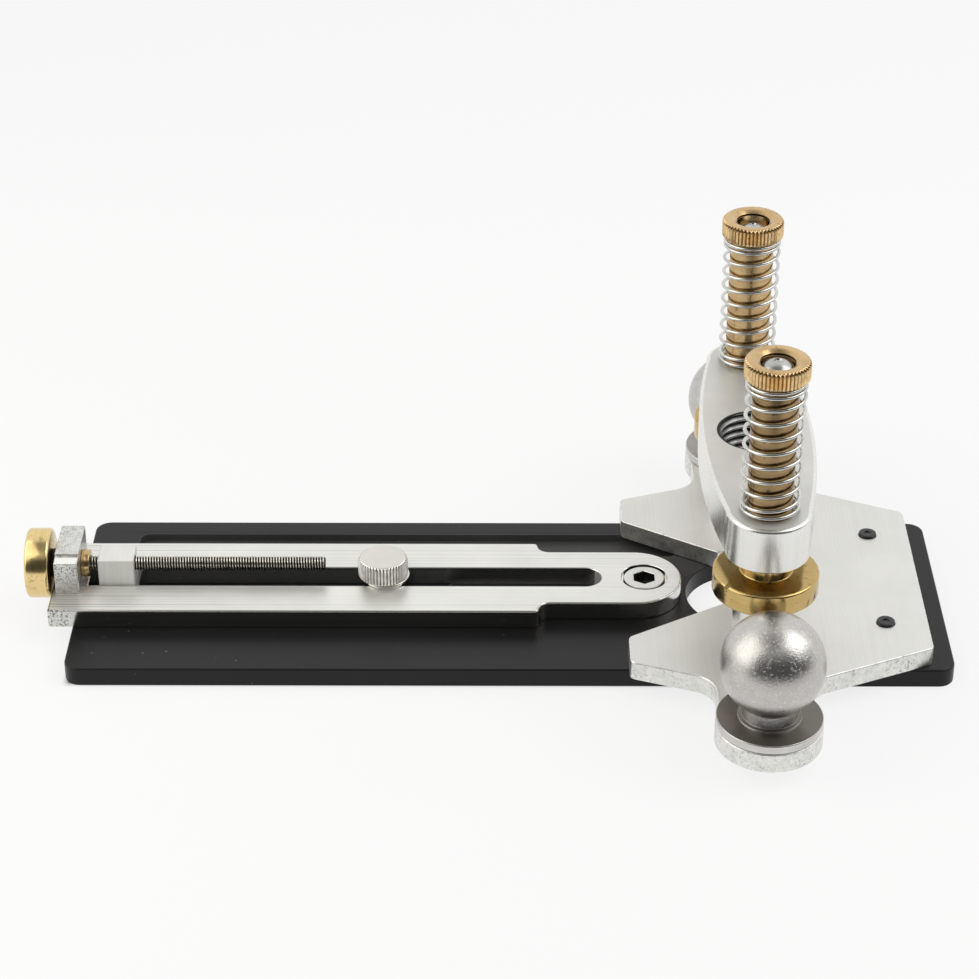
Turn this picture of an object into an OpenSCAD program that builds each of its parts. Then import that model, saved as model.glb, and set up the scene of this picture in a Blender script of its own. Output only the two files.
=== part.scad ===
// Circle cutting jig for a small rotary tool: a black sole plate with a sliding,
// screw-adjusted pivot arm and a sprung tool carriage on two threaded columns.
// Millimetres. Origin on the bit axis at the sole, X along the arm towards the tool,
// Y away from the front handle, Z up.

/* [Sole plate] */
// Length of the black sole plate
base_l = 220; // [200:1:240]
// Width of the black sole plate
base_w = 69; // [67:0.5:76]
// Thickness of the sole plate
base_t = 5; // [4:0.5:8]
// Corner radius of the sole plate
base_corner_r = 4; // [2:0.5:8]
// Distance from the bit axis to the right end of the sole plate
base_right = 48.7; // [46:0.1:60]
// Diameter of the bit opening in the sole plate
bit_hole_d = 32; // [30:0.5:33]
// Width of the shallow scale groove behind the arm
groove_w = 10.5; // [6:0.5:11]
// Depth of the scale groove
groove_depth = 2; // [0.5:0.1:3]
// Land between the scale groove and the back edge
groove_land = 6.2; // [4:0.1:6.4]
// Land between the scale groove and the left end
groove_left = 12.5; // [8:0.5:40]
// Corner radius of the scale groove
groove_r = 2.5; // [1:0.5:2.5]

/* [Router plate] */
// Thickness of the aluminium router plate
plate_t = 5; // [4:0.5:8]
// Distance from the bit axis to the left tips
plate_left = 31.8; // [28:0.1:36]
// Distance from the bit axis to the right edge
plate_right = 43.1; // [38:0.1:46]
// Half length of the right edge
plate_right_half = 32; // [28:0.5:34]
// Half width of the notch at its mouth
notch_half = 27.2; // [24:0.1:30]
// Outer corner of the left tips, from the centre line
tip_half = 38.2; // [36:0.1:42]
// Rise of the long slanted edges, per millimetre
edge_slope = 0.36; // [0.2:0.01:0.5]
// Fall of the notch edges, per millimetre
notch_slope = 0.62; // [0.5:0.01:0.75]
// Diameter of the opening round the bit
plate_opening_d = 28; // [22:0.5:30]
// Corner radius of the tips and right corners
plate_corner_r = 2; // [1:0.5:4]
// Radius of the inner corners beside the ears
ear_fillet_r = 7; // [3:0.5:9]
// Distance from the bit axis to each handle
handle_y = 63.5; // [61:0.5:70]
// Radius of the round ears
ear_r = 12.8; // [12:0.1:15]
// Half width of the necks that carry the ears
ear_neck_half = 11.6; // [9:0.1:12]
// Distance of the plate screws from the bit axis along the arm
plate_screw_x = 32.5; // [28:0.5:36]
// Distance of the plate screws from the centre line
plate_screw_y = 20.7; // [16:0.1:24]
// Thread diameter of the plate screws
plate_screw_d = 4.5; // [4:0.5:5]

/* [Pivot arm] */
// Thickness of the arm
arm_t = 5; // [4.5:0.5:7]
// Width of the wide part of the arm
arm_w = 32; // [28:0.5:33]
// Width of the tongue
tongue_w = 24; // [18:0.5:26]
// Distance from the bit axis to the left end of the arm
arm_left = 177.3; // [176:0.1:180]
// Distance from the bit axis to the tongue's end
arm_right = 17.3; // [16.5:0.1:21]
// Distance from the bit axis to the shoulder
shoulder_x = 52.5; // [46:0.5:66]
// Radius of the inner corner at the shoulder
shoulder_r = 3; // [1:0.5:3.5]
// Width of the long slot
slot_w = 8.5; // [8:0.1:10]
// Distance from the bit axis to the right end of the slot
slot_right = 37.7; // [37:0.1:41]
// Land between the arm's left end and the slot
slot_land = 8.9; // [8.5:0.1:9.2]
// Smallest circle radius: pivot to bit axis as shown
pivot_x = 26.8; // [26:0.1:28]
// Diameter of the pivot counterbore
pivot_cbore_d = 11.8; // [11:0.1:13]
// Depth of the pivot counterbore
pivot_cbore_depth = 3.2; // [2.5:0.1:3.5]
// Head diameter of the pivot bush
pivot_head_d = 10.6; // [9:0.1:10.8]
// Shank diameter of the pivot bush
pivot_shank_d = 6; // [5.5:0.1:7]
// Bore of the pivot bush, for the centre pin
pivot_bore_d = 4; // [3:0.1:4.5]
// Travel of the arm to the left
arm_travel = 45; // [30:1:45]

/* [Micro adjuster] */
// Height of the lead screw above the sole plate
screw_rise = 9; // [8.5:0.1:11]
// Diameter of the lead screw
screw_d = 3.9; // [3:0.1:4.5]
// Air between the free end of the lead screw and the lock screw's head
screw_end_gap = 8.5; // [3:0.1:12]
// Thickness of the end bracket
bracket_t = 6; // [5:0.1:7]
// Width of the end bracket
bracket_w = 16.8; // [15:0.1:22]
// Height of the end bracket above the arm
bracket_h = 10; // [9:0.1:14]
// Chamfer of the bracket's long top edges
bracket_chamfer = 1.4; // [0.5:0.1:2]
// Step between the arm's left end and the bracket
bracket_inset = 1.2; // [0.6:0.1:1.5]
// Diameter of the adjusting knob
knob_d = 17.8; // [14:0.1:20]
// Length of the adjusting knob
knob_l = 6.1; // [5:0.1:9]
// Edge chamfer of the adjusting knob
knob_chamfer = 0.8; // [0.3:0.1:1.5]
// Diameter of the black washer behind the knob
knob_washer_d = 7.4; // [6:0.1:7.6]
// Thickness of the black washer behind the knob
knob_washer_t = 1.5; // [1:0.1:3]
// Diameter of the brass thrust collar
collar_d = 7; // [6:0.1:8]
// Length of the brass thrust collar
collar_l = 2.1; // [1.8:0.1:2.2]
// Length of the nut block along the arm
nut_l = 9.1; // [8.5:0.1:10]
// Width of the nut block
nut_w = 7.9; // [7:0.1:7.9]
// Height of the nut block above the sole plate
nut_h = 12; // [11.7:0.1:16]
// Distance from the arm's left end to the nut block's right face
nut_land = 20.7; // [20.3:0.1:21.3]

/* [Lock screw] */
// Distance from the bit axis to the lock screw
lock_x = 93.5; // [90:0.5:98]
// Diameter of the knurled head
lock_head_d = 12.2; // [10:0.1:16]
// Height of the knurled head
lock_head_h = 5; // [4:0.1:8]
// Diameter of the lock screw's shank
lock_shank_d = 4.9; // [4:0.1:6]
// Thickness of the washer under the head
lock_washer_t = 1; // [0.8:0.1:2]
// Diameter of the washer under the head
lock_washer_d = 12; // [10:0.1:14]
// Outer diameter of the threaded insert
insert_d = 7.5; // [7.2:0.1:9]
// Number of knurl ridges on the head
lock_knurls = 44; // [24:1:60]
// Depth of the knurl on the head
lock_knurl_depth = 0.25; // [0.1:0.05:0.5]
// Bevelled rim on top of the head
lock_rim = 0.6; // [0.3:0.1:1]

/* [Columns] */
// Distance from the bit axis to each column
column_y = 37.3; // [36:0.1:38.5]
// Diameter of the steel stud
stud_d = 7.9; // [6:0.1:8]
// Depth of the front stud's end below the top of its cap
front_stud_sink = 0.2; // [0.1:0.1:3]
// Depth of the back stud's end below the top of its cap
back_stud_sink = 1.6; // [0.1:0.1:3]
// Diameter of the aluminium pedestal
pedestal_d = 15; // [12:0.5:18]
// Height of the pedestal above the router plate
pedestal_h = 20.5; // [12:0.5:24]
// Diameter of the depth wheel
wheel_d = 25.5; // [22:0.5:28]
// Thickness of the depth wheel
wheel_t = 5.7; // [4:0.1:8]
// Edge chamfer of the depth wheel
wheel_chamfer = 0.6; // [0.2:0.1:1]
// Diameter of the neck above the wheel
neck_d = 12.3; // [12:0.1:14]
// Height of the neck
neck_h = 4.8; // [3:0.1:8]
// Outer diameter of the threaded sleeve
sleeve_d = 11; // [9.8:0.1:11.2]
// Diameter of the knurled cap
cap_d = 15.5; // [15.2:0.1:18]
// Height of the knurled cap
cap_h = 4.6; // [4:0.1:7]
// Depth of the cap's socket for the sleeve
cap_socket = 3.4; // [2.5:0.1:3.5]
// Number of knurl ridges on the cap
cap_knurls = 48; // [24:1:60]
// Depth of the knurl on the cap
cap_knurl_depth = 0.3; // [0.1:0.05:0.5]
// Bevelled rim on top of the cap
cap_rim = 0.6; // [0.3:0.1:1]
// Gap between the pedestal and the wheel in the lowest setting
wheel_gap = 0.3; // [0.2:0.1:1]

/* [Springs] */
// Free space between carriage and cap that a spring fills
spring_l = 35.6; // [30:0.1:42]
// Wire diameter
wire_d = 0.9; // [0.8:0.05:1.15]
// Outer diameter of the coil
spring_d = 14.6; // [14.5:0.1:15.2]
// Turns of one spring
spring_turns = 11; // [9:0.5:12]
// Close turns at each end
close_turns = 1.5; // [1:0.5:2]
// Air between the close turns
close_gap = 0.55; // [0.5:0.05:0.8]

/* [Carriage] */
// Thickness of the carriage
carriage_t = 11.8; // [10:0.1:14]
// Half width of the carriage at the tool thread
carriage_half = 14; // [12.5:0.1:16]
// Radius of the end bosses
boss_r = 10.2; // [9:0.1:11]
// Bevel round the top edge
carriage_bevel = 1.2; // [0.5:0.1:2]
// Diameter of the tool thread
tool_thread_d = 19.05; // [16:0.05:22]
// Chamfer at the mouths of the tool thread
tool_chamfer = 0.4; // [0.1:0.1:1]

/* [Handles] */
// Diameter of the ball
ball_d = 25; // [20:0.5:28]
// Height of the ball's centre above the router plate
ball_rise = 17.8; // [15:0.1:22]
// Diameter of the flange
flange_d = 25.4; // [20:0.1:26]
// Thickness of the flange
flange_t = 2.4; // [1.5:0.1:4]
// Diameter of the neck below the ball
handle_neck_d = 13.5; // [10:0.5:18]
// Thread diameter of the handle screws
handle_screw_d = 6; // [4:0.5:8]

/* [Clearances] */
// Radial clearance of turning and sliding round fits
run_clear = 0.08; // [0.05:0.01:0.1]
// Radial clearance of screws in their holes
screw_clear = 0.05; // [0.02:0.01:0.1]
// Clearance between a coil and its seats
spring_clear = 0.3; // [0.2:0.05:0.4]
// Clearance round the pivot nut in the sole plate
pivot_clear = 0.6; // [0.3:0.1:1.5]

/* [Hidden] */

$fn = 64;
cut = 1;
front = -1;
back = 1;

base_left = base_right - base_l;
plate_top = base_t + plate_t;
arm_top = base_t + arm_t;
screw_z = base_t + screw_rise;
slot_left = arm_left - slot_land;
nut_right = arm_left - nut_land;
screw_right = lock_x + lock_head_d / 2 + screw_end_gap;

bracket_left = -arm_left + bracket_inset;
bracket_right = bracket_left + bracket_t;
knob_right = bracket_left - knob_washer_t;
knob_left = knob_right - knob_l;
nut_left = -nut_right - nut_l;

pedestal_top = plate_top + pedestal_h;
wheel_bottom = pedestal_top + wheel_gap;
wheel_top = wheel_bottom + wheel_t;
carriage_bottom = wheel_top + neck_h;
carriage_top = carriage_bottom + carriage_t;
cap_bottom = carriage_top + spring_l;
cap_top = cap_bottom + cap_h;
sleeve_top = cap_bottom + cap_socket;
stud_dome = 1.8;

pivot_nut_af = 10;
pivot_nut_t = 2.6;
pivot_slot_w = pivot_nut_af / cos(30) + 2 * pivot_clear;
pivot_end_clear = 0.6;
arm_forward = 2;
hex_af = 5.3;
hex_depth = 3;

screw_head_d = 8;
screw_head_h = 2.4;
screw_tip = 0.6;
small_screw_d = 3;
small_head_d = 5.6;
small_head_h = 1.7;
bracket_screw_y = 5.4;
grub_sink = 0.5;
grub_socket_af = 1.5;
grub_socket_depth = 1.5;
small_reach = 5;
reach_spare = 0.5;
nut_screw_d = 4;
handle_head_d = 11;
handle_head_h = 3;
handle_screw_reach = 9;

pitch_close = wire_d + close_gap;
coil_r = (spring_d - wire_d) / 2;
coil_low = spring_clear + wire_d / 2;
coil_rise = spring_l - 2 * coil_low;
pitch_open = (coil_rise - 2 * close_turns * pitch_close) / (spring_turns - 2 * close_turns);
curl_rings = 8;
wire_sides = 6;

function unit(v) = v / norm(v);

// Arc of radius r that rounds the corner p between its neighbours a and b
function corner_arc(p, a, b, r) = let (steps = 6, u = unit(a - p), v = unit(b - p), half = acos(u * v) / 2,
    c = p + unit(u + v) * r / sin(half), s = p + u * r / tan(half) - c, e = p + v * r / tan(half) - c)
    r == 0 ? [p] : [for (i = [0:steps]) c + r * unit(s * (steps - i) + e * i)];
// Closed outline with the corners rounded by the given radii
function round_path(pts, radii) = let (n = len(pts)) [for (i = [0:n - 1])
    each corner_arc(pts[i], pts[(i + n - 1) % n], pts[(i + 1) % n], radii[i])];
function mirror_y(pts) = [for (i = [len(pts) - 1:-1:0]) [pts[i].x, -pts[i].y]];
function backwards(v) = [for (i = [len(v) - 1:-1:0]) v[i]];

module round_rect(x0, x1, y0, y1, r) {
    translate([x0 + r, y0]) square([x1 - x0 - 2 * r, y1 - y0]);
    translate([x0, y0 + r]) square([x1 - x0, y1 - y0 - 2 * r]);
    for (x = [x0 + r, x1 - r], y = [y0 + r, y1 - r]) translate([x, y]) circle(r);
}

// Long hole with round ends between two centres on the X axis
module slot_shape(x0, x1, w) {
    translate([x0, -w / 2]) square([x1 - x0, w]);
    for (x = [x0, x1]) translate([x, 0]) circle(d = w);
}

module plate(z, t) {
    translate([0, 0, z]) linear_extrude(t) children();
}

module drill(x, y, z0, z1, d) {
    translate([x, y, z0]) cylinder(h = z1 - z0, d = d);
}

// Cylinder lying along X
module rod_x(x0, x1, z, d) {
    translate([x0, 0, z]) rotate([0, 90, 0]) cylinder(h = x1 - x0, d = d);
}

// Flush screw pushed up from below, with a conical head
module flush_screw(x, y, z0, z1, d, head_d, head_h) {
    translate([x, y, z0]) {
        cylinder(h = head_h, d1 = head_d, d2 = d);
        cylinder(h = z1 - z0, d = d);
    }
}

// Hole that takes a flush screw
module flush_hole(x, y, z0, z1, d, head_d, head_h) {
    wide = 2 * screw_clear;
    translate([x, y, z0]) {
        cylinder(h = head_h, d1 = head_d + wide, d2 = d + wide);
        translate([0, 0, -cut]) cylinder(h = cut + 0.01, d = head_d + wide);
        cylinder(h = z1 - z0, d = d + wide);
    }
}

// Round outline with straight ridges
module knurl_shape(d, n, depth) {
    polygon([for (i = [0:2 * n - 1]) let (r = d / 2 - (i % 2) * depth, a = 180 * i / n)
        [r * cos(a), r * sin(a)]]);
}

// Round head with a band of straight knurling between two plain bevelled rims
module knurled_head(d, h, n, depth, low, rim) {
    root = d - 2 * depth - 0.2;
    cylinder(h = low, d1 = root - low, d2 = root);
    translate([0, 0, low]) linear_extrude(h - low - rim) knurl_shape(d, n, depth);
    translate([0, 0, h - rim]) cylinder(h = rim, d1 = root, d2 = root - 2 * rim);
}

module base_outline() {
    round_rect(base_left, base_right, -base_w / 2, base_w / 2, base_corner_r);
}

module base_plate() {
    color([0.10, 0.10, 0.11])
    difference() {
        plate(0, base_t) base_outline();
        drill(0, 0, -cut, base_t + cut, bit_hole_d);
        translate([0, 0, base_t - groove_depth]) linear_extrude(groove_depth + cut)
            round_rect(base_left + groove_left, -arm_right,
                base_w / 2 - groove_land - groove_w, base_w / 2 - groove_land, groove_r);
        translate([0, 0, -cut]) linear_extrude(base_t + 2 * cut)
            slot_shape(-pivot_x - arm_travel, -pivot_x + arm_forward, pivot_slot_w);
        drill(-lock_x, 0, -cut, base_t + cut, insert_d + 2 * screw_clear);
        flush_hole((nut_left - nut_right) / 2, 0, 0, base_t + cut, nut_screw_d, screw_head_d, screw_head_h);
        for (s = [front, back])
            flush_hole(plate_screw_x, s * plate_screw_y, 0, base_t + cut,
                plate_screw_d, screw_head_d, screw_head_h);
    }
}

// Corners of the router plate's back half, from the notch round to the right edge
notch_apex = [notch_half / notch_slope - plate_left, 0];
router_back = [
    [-plate_left, notch_half],
    [-plate_left, tip_half],
    [-ear_neck_half, tip_half + edge_slope * (plate_left - ear_neck_half)],
    [-ear_neck_half, handle_y],
    [ear_neck_half, handle_y],
    [ear_neck_half, plate_right_half + edge_slope * 1.25 * (plate_right - ear_neck_half)],
    [plate_right, plate_right_half]
];
router_radii = [plate_corner_r, plate_corner_r, ear_fillet_r, 0, 0, ear_fillet_r, plate_corner_r];

module router_plate() {
    outline = concat([notch_apex], router_back, mirror_y(router_back));
    radii = concat([0], router_radii, backwards(router_radii));
    color([0.80, 0.81, 0.81])
    difference() {
        union() {
            plate(base_t, plate_t) polygon(round_path(outline, radii));
            for (s = [front, back]) translate([0, s * handle_y, base_t]) cylinder(h = plate_t, r = ear_r);
        }
        drill(0, 0, base_t - cut, plate_top + cut, plate_opening_d);
        for (s = [front, back]) {
            drill(plate_screw_x, s * plate_screw_y, base_t - cut, plate_top + cut, plate_screw_d + 2 * screw_clear);
            drill(0, s * column_y, base_t - cut, plate_top + cut, stud_d + 2 * screw_clear);
            flush_hole(0, s * handle_y, base_t, plate_top + cut, handle_screw_d, handle_head_d, handle_head_h);
        }
    }
}

module plate_screws() {
    color([0.07, 0.07, 0.07])
    for (s = [front, back])
        flush_screw(plate_screw_x, s * plate_screw_y, 0, plate_top + screw_tip,
            plate_screw_d, screw_head_d, screw_head_h);
}

module pedestal(s) {
    edge = 0.6;
    r = pedestal_d / 2;
    bore = stud_d / 2 + screw_clear;
    color([0.72, 0.72, 0.71])
    translate([0, s * column_y, plate_top])
    rotate_extrude()
        polygon([[bore, 0], [r, 0], [r, pedestal_h - edge], [r - edge, pedestal_h], [bore, pedestal_h]]);
}

module front_pedestal() { pedestal(front); }
module back_pedestal() { pedestal(back); }

module stud(s) {
    r = stud_d / 2;
    length = cap_top - base_t - (s == front ? front_stud_sink : back_stud_sink);
    dome_r = (r * r + stud_dome * stud_dome) / (2 * stud_dome);
    color([0.75, 0.75, 0.74])
    translate([0, s * column_y, base_t]) {
        cylinder(h = length - stud_dome, r = r);
        translate([0, 0, length - stud_dome])
        intersection() {
            translate([0, 0, stud_dome - dome_r]) sphere(dome_r);
            cylinder(h = stud_dome, r = r);
        }
    }
}

module front_stud() { stud(front); }
module back_stud() { stud(back); }

// Wheel, neck and sleeve turned from one brass bar and threaded through
module sleeve(s) {
    bore = stud_d / 2 + run_clear;
    w = wheel_d / 2;
    c = wheel_chamfer;
    z1 = wheel_t;
    z2 = z1 + neck_h;
    z3 = sleeve_top - wheel_bottom;
    color([0.72, 0.55, 0.27])
    translate([0, s * column_y, wheel_bottom])
    rotate_extrude()
        polygon([[bore, 0], [w - c, 0], [w, c], [w, z1 - c], [w - c, z1], [neck_d / 2, z1], [neck_d / 2, z2],
            [sleeve_d / 2, z2], [sleeve_d / 2, z3], [bore, z3]]);
}

module front_sleeve() { sleeve(front); }
module back_sleeve() { sleeve(back); }

module cap(s) {
    color([0.74, 0.56, 0.30])
    translate([0, s * column_y, cap_bottom])
    difference() {
        knurled_head(cap_d, cap_h, cap_knurls, cap_knurl_depth, 0.3, cap_rim);
        translate([0, 0, -cut]) cylinder(h = cap_socket + cut, d = sleeve_d + 2 * screw_clear);
        translate([0, 0, -cut]) cylinder(h = cap_h + 2 * cut, d = stud_d + 2 * run_clear);
    }
}

module front_cap() { cap(front); }
module back_cap() { cap(back); }

// Height of the wire's centre line after t turns, with close turns at both ends
function coil_z(t) = coil_low + (t < close_turns ? t * pitch_close
    : t > spring_turns - close_turns ? coil_rise - (spring_turns - t) * pitch_close
    : close_turns * pitch_close + (t - close_turns) * pitch_open);

coil_steps = curl_rings * spring_turns;
coil_points = [for (i = [0:coil_steps]) let (t = i / curl_rings)
    [coil_r * cos(360 * t), coil_r * sin(360 * t), coil_z(t)]];
// Both wire ends leave the coil straight for one wire diameter
wire_path = concat([coil_points[0] - [0, wire_d, 0]], coil_points,
    [coil_points[coil_steps] + wire_d * [-sin(360 * spring_turns), cos(360 * spring_turns), 0]]);
wire_last = len(wire_path) - 1;
spring_gap = min([for (i = [0:coil_steps], j = [i + curl_rings - 2:i + curl_rings + 2])
    if (j <= coil_steps) norm(coil_points[j] - coil_points[i])]) - wire_d;
echo("least gap of a spring to itself", spring_gap);

function wire_dir(i) = unit(wire_path[min(i + 1, wire_last)] - wire_path[max(i - 1, 0)]);
function wire_ring(i) = let (d = wire_dir(i), side = unit(cross(d, [0, 0, 1])), lift = cross(side, d))
    [for (k = [0:wire_sides - 1]) let (a = 360 * k / wire_sides)
        wire_path[i] + wire_d / 2 * (cos(a) * side + sin(a) * lift)];

module spring(s) {
    points = [for (i = [0:wire_last]) each wire_ring(i)];
    walls = [for (i = [0:wire_last - 1], k = [0:wire_sides - 1])
        let (n = (k + 1) % wire_sides, a = i * wire_sides, b = a + wire_sides)
        each [[a + k, b + n, a + n], [a + k, b + k, b + n]]];
    last = wire_last * wire_sides;
    ends = [for (k = [1:wire_sides - 2]) each [[0, k, k + 1], [last, last + k + 1, last + k]]];
    color([0.82, 0.82, 0.82])
    translate([0, s * column_y, carriage_top])
        polyhedron(points, concat(walls, ends));
}

module front_spring() { spring(front); }
module back_spring() { spring(back); }

// Plan of the carriage: two shallow arcs that run into the end bosses
module carriage_shape(inset) {
    half = carriage_half - inset;
    end_r = boss_r - inset;
    bow = half - end_r;
    arc_r = (column_y * column_y + bow * bow) / (2 * bow);
    intersection() {
        translate([arc_r - half, 0]) circle(arc_r, $fn = 360);
        translate([half - arc_r, 0]) circle(arc_r, $fn = 360);
        square([2 * half, 2 * column_y], center = true);
    }
    for (s = [front, back]) translate([0, s * column_y]) circle(end_r);
}

module carriage() {
    r = tool_thread_d / 2;
    c = tool_chamfer;
    side = carriage_t - carriage_bevel;
    color([0.78, 0.79, 0.79])
    difference() {
        union() {
            plate(carriage_bottom, side) carriage_shape(0);
            hull() {
                plate(carriage_bottom + side - 0.02, 0.02) carriage_shape(0);
                plate(carriage_top - 0.02, 0.02) carriage_shape(carriage_bevel);
            }
        }
        translate([0, 0, carriage_bottom]) rotate_extrude()
            polygon([[0, -cut], [r + c + cut, -cut], [r, c], [r, carriage_t - c],
                [r + c + cut, carriage_t + cut], [0, carriage_t + cut]]);
        for (s = [front, back])
            drill(0, s * column_y, carriage_bottom - cut, carriage_top + cut, sleeve_d + 2 * run_clear);
    }
}

// Ball, neck and flange turned from one steel bar
module handle(s) {
    neck_r = handle_neck_d / 2;
    hole = handle_screw_d / 2 + screw_clear;
    lip = 0.4;
    color([0.56, 0.56, 0.57])
    translate([0, s * handle_y, plate_top])
    difference() {
        union() {
            translate([0, 0, ball_rise]) sphere(d = ball_d);
            cylinder(h = ball_rise, r = neck_r);
            rotate_extrude()
                polygon([[0, 0], [flange_d / 2, 0], [flange_d / 2, flange_t - lip],
                    [flange_d / 2 - lip, flange_t], [0, flange_t]]);
        }
        translate([0, 0, -cut]) cylinder(h = handle_screw_reach + cut + 0.5, r = hole);
    }
}

module front_handle() { handle(front); }
module back_handle() { handle(back); }

module handle_screws() {
    color([0.35, 0.35, 0.36])
    for (s = [front, back])
        flush_screw(0, s * handle_y, base_t, plate_top + handle_screw_reach,
            handle_screw_d, handle_head_d, handle_head_h);
}

module slide_arm() {
    y = arm_w / 2;
    t = tongue_w / 2;
    end_x = -arm_right - t;
    arm_back = [[-arm_left, y], [-shoulder_x, y], [-shoulder_x, t], [end_x, t]];
    arm_radii = [0, 1, shoulder_r, 0];
    outline = round_path(concat(arm_back, mirror_y(arm_back)), concat(arm_radii, backwards(arm_radii)));
    color([0.86, 0.87, 0.87])
    difference() {
        union() {
            plate(base_t, arm_t) polygon(outline);
            translate([end_x, 0, base_t]) cylinder(h = arm_t, r = t);
        }
        plate(base_t - cut, arm_t + 2 * cut)
            slot_shape(-slot_left + slot_w / 2, -slot_right - slot_w / 2, slot_w);
        // Square left end of the slot, so that the nut block fills it
        translate([-slot_left, -slot_w / 2, base_t - cut]) cube([slot_w, slot_w, arm_t + 2 * cut]);
        drill(-pivot_x, 0, arm_top - pivot_cbore_depth, arm_top + cut, pivot_cbore_d);
        drill(-pivot_x, 0, base_t - cut, arm_top, pivot_shank_d + 2 * screw_clear);
        for (s = [front, back])
            flush_hole((bracket_left + bracket_right) / 2, s * bracket_screw_y, base_t, arm_top + cut,
                small_screw_d, small_head_d, small_head_h);
    }
}

module end_bracket() {
    y = bracket_w / 2;
    c = bracket_chamfer;
    mid = (bracket_left + bracket_right) / 2;
    color([0.76, 0.76, 0.75])
    difference() {
        translate([bracket_left, 0, arm_top]) rotate([90, 0, 90]) linear_extrude(bracket_t)
            polygon([[-y, 0], [y, 0], [y, bracket_h - c], [y - c, bracket_h], [c - y, bracket_h],
                [-y, bracket_h - c]]);
        rod_x(bracket_left - cut, bracket_right + cut, screw_z, screw_d + 2 * run_clear);
        for (s = [front, back])
            drill(mid, s * bracket_screw_y, arm_top - cut, arm_top + small_reach + reach_spare,
                small_screw_d + 2 * screw_clear);
    }
}

module bracket_screws() {
    color([0.45, 0.45, 0.46])
    for (s = [front, back])
        flush_screw((bracket_left + bracket_right) / 2, s * bracket_screw_y, base_t, arm_top + small_reach,
            small_screw_d, small_head_d, small_head_h);
}

// Hollow pivot with a hexagon socket, held in the counterbore by a nut below the arm
module pivot_bush() {
    seat = arm_top - pivot_cbore_depth;
    head_top = arm_top - 0.1;
    edge = 0.4;
    r = pivot_head_d / 2;
    color([0.70, 0.70, 0.70])
    translate([-pivot_x, 0, 0])
    difference() {
        union() {
            translate([0, 0, seat]) rotate_extrude()
                polygon([[0, 0], [r, 0], [r, head_top - seat - edge], [r - edge, head_top - seat],
                    [0, head_top - seat]]);
            translate([0, 0, pivot_end_clear]) cylinder(h = seat - pivot_end_clear + 0.1, d = pivot_shank_d);
        }
        cylinder(h = head_top, d = pivot_bore_d);
        translate([0, 0, head_top - hex_depth]) rotate([0, 0, 30])
            cylinder(h = hex_depth + cut, d = hex_af / cos(30), $fn = 6);
    }
}

module pivot_nut() {
    color([0.62, 0.62, 0.62])
    translate([-pivot_x, 0, base_t - pivot_nut_t])
    difference() {
        cylinder(h = pivot_nut_t, d = pivot_nut_af / cos(30), $fn = 6);
        translate([0, 0, -cut]) cylinder(h = pivot_nut_t + 2 * cut, d = pivot_shank_d + 2 * screw_clear);
    }
}

module nut_block() {
    mid = (nut_left - nut_right) / 2;
    color([0.80, 0.80, 0.79])
    difference() {
        translate([nut_left, -nut_w / 2, base_t]) cube([nut_l, nut_w, nut_h]);
        rod_x(nut_left - cut, -nut_right + cut, screw_z, screw_d + 2 * run_clear);
        drill(mid, 0, base_t - cut, base_t + small_reach + reach_spare, nut_screw_d + 2 * screw_clear);
    }
}

module nut_block_screw() {
    color([0.45, 0.45, 0.46])
    flush_screw((nut_left - nut_right) / 2, 0, 0, base_t + small_reach, nut_screw_d, screw_head_d, screw_head_h);
}

module lead_screw() {
    tip = 0.5;
    color([0.66, 0.66, 0.66]) {
        rod_x(knob_left + 1, -screw_right - tip, screw_z, screw_d);
        translate([-screw_right - tip, 0, screw_z]) rotate([0, 90, 0])
            cylinder(h = tip, d1 = screw_d, d2 = screw_d - 2 * tip);
    }
}

module adjust_knob() {
    r = knob_d / 2;
    c = knob_chamfer;
    bore = screw_d / 2 + screw_clear;
    blind = 1;
    color([0.80, 0.62, 0.28])
    difference() {
        translate([knob_left, 0, screw_z]) rotate([0, 90, 0]) rotate_extrude()
            polygon([[0, 0], [r - c, 0], [r, c], [r, knob_l - c], [r - c, knob_l], [bore, knob_l],
                [bore, blind], [0, blind]]);
        translate([(knob_left + knob_right) / 2, 0, screw_z]) rotate([-90, 0, 0])
            cylinder(h = knob_d, d = small_screw_d + 2 * screw_clear);
    }
}

// Grub screw that grips the lead screw from the back of the knob
module knob_set_screw() {
    color([0.25, 0.25, 0.26])
    translate([(knob_left + knob_right) / 2, screw_d / 2 + 0.05, screw_z]) rotate([-90, 0, 0])
    difference() {
        length = (knob_d - screw_d) / 2 - grub_sink;
        cylinder(h = length, d = small_screw_d);
        translate([0, 0, length - grub_socket_depth])
            cylinder(h = grub_socket_depth + cut, d = grub_socket_af / cos(30), $fn = 6);
    }
}

module ring_x(x0, x1, d) {
    difference() {
        rod_x(x0, x1, screw_z, d);
        rod_x(x0 - cut, x1 + cut, screw_z, screw_d + 2 * screw_clear);
    }
}

module knob_washer() {
    color([0.08, 0.08, 0.08])
    ring_x(knob_right, bracket_left - 0.05, knob_washer_d);
}

module thrust_collar() {
    color([0.74, 0.55, 0.32])
    ring_x(bracket_right + 0.05, bracket_right + collar_l, collar_d);
}

module lock_insert() {
    color([0.76, 0.60, 0.30])
    difference() {
        drill(-lock_x, 0, 0.3, base_t, insert_d);
        drill(-lock_x, 0, -cut, base_t + cut, lock_shank_d + 2 * run_clear);
    }
}

module lock_washer() {
    color([0.78, 0.78, 0.77])
    difference() {
        drill(-lock_x, 0, arm_top, arm_top + lock_washer_t, lock_washer_d);
        drill(-lock_x, 0, arm_top - cut, arm_top + lock_washer_t + cut, lock_shank_d + 2 * run_clear);
    }
}

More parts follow.
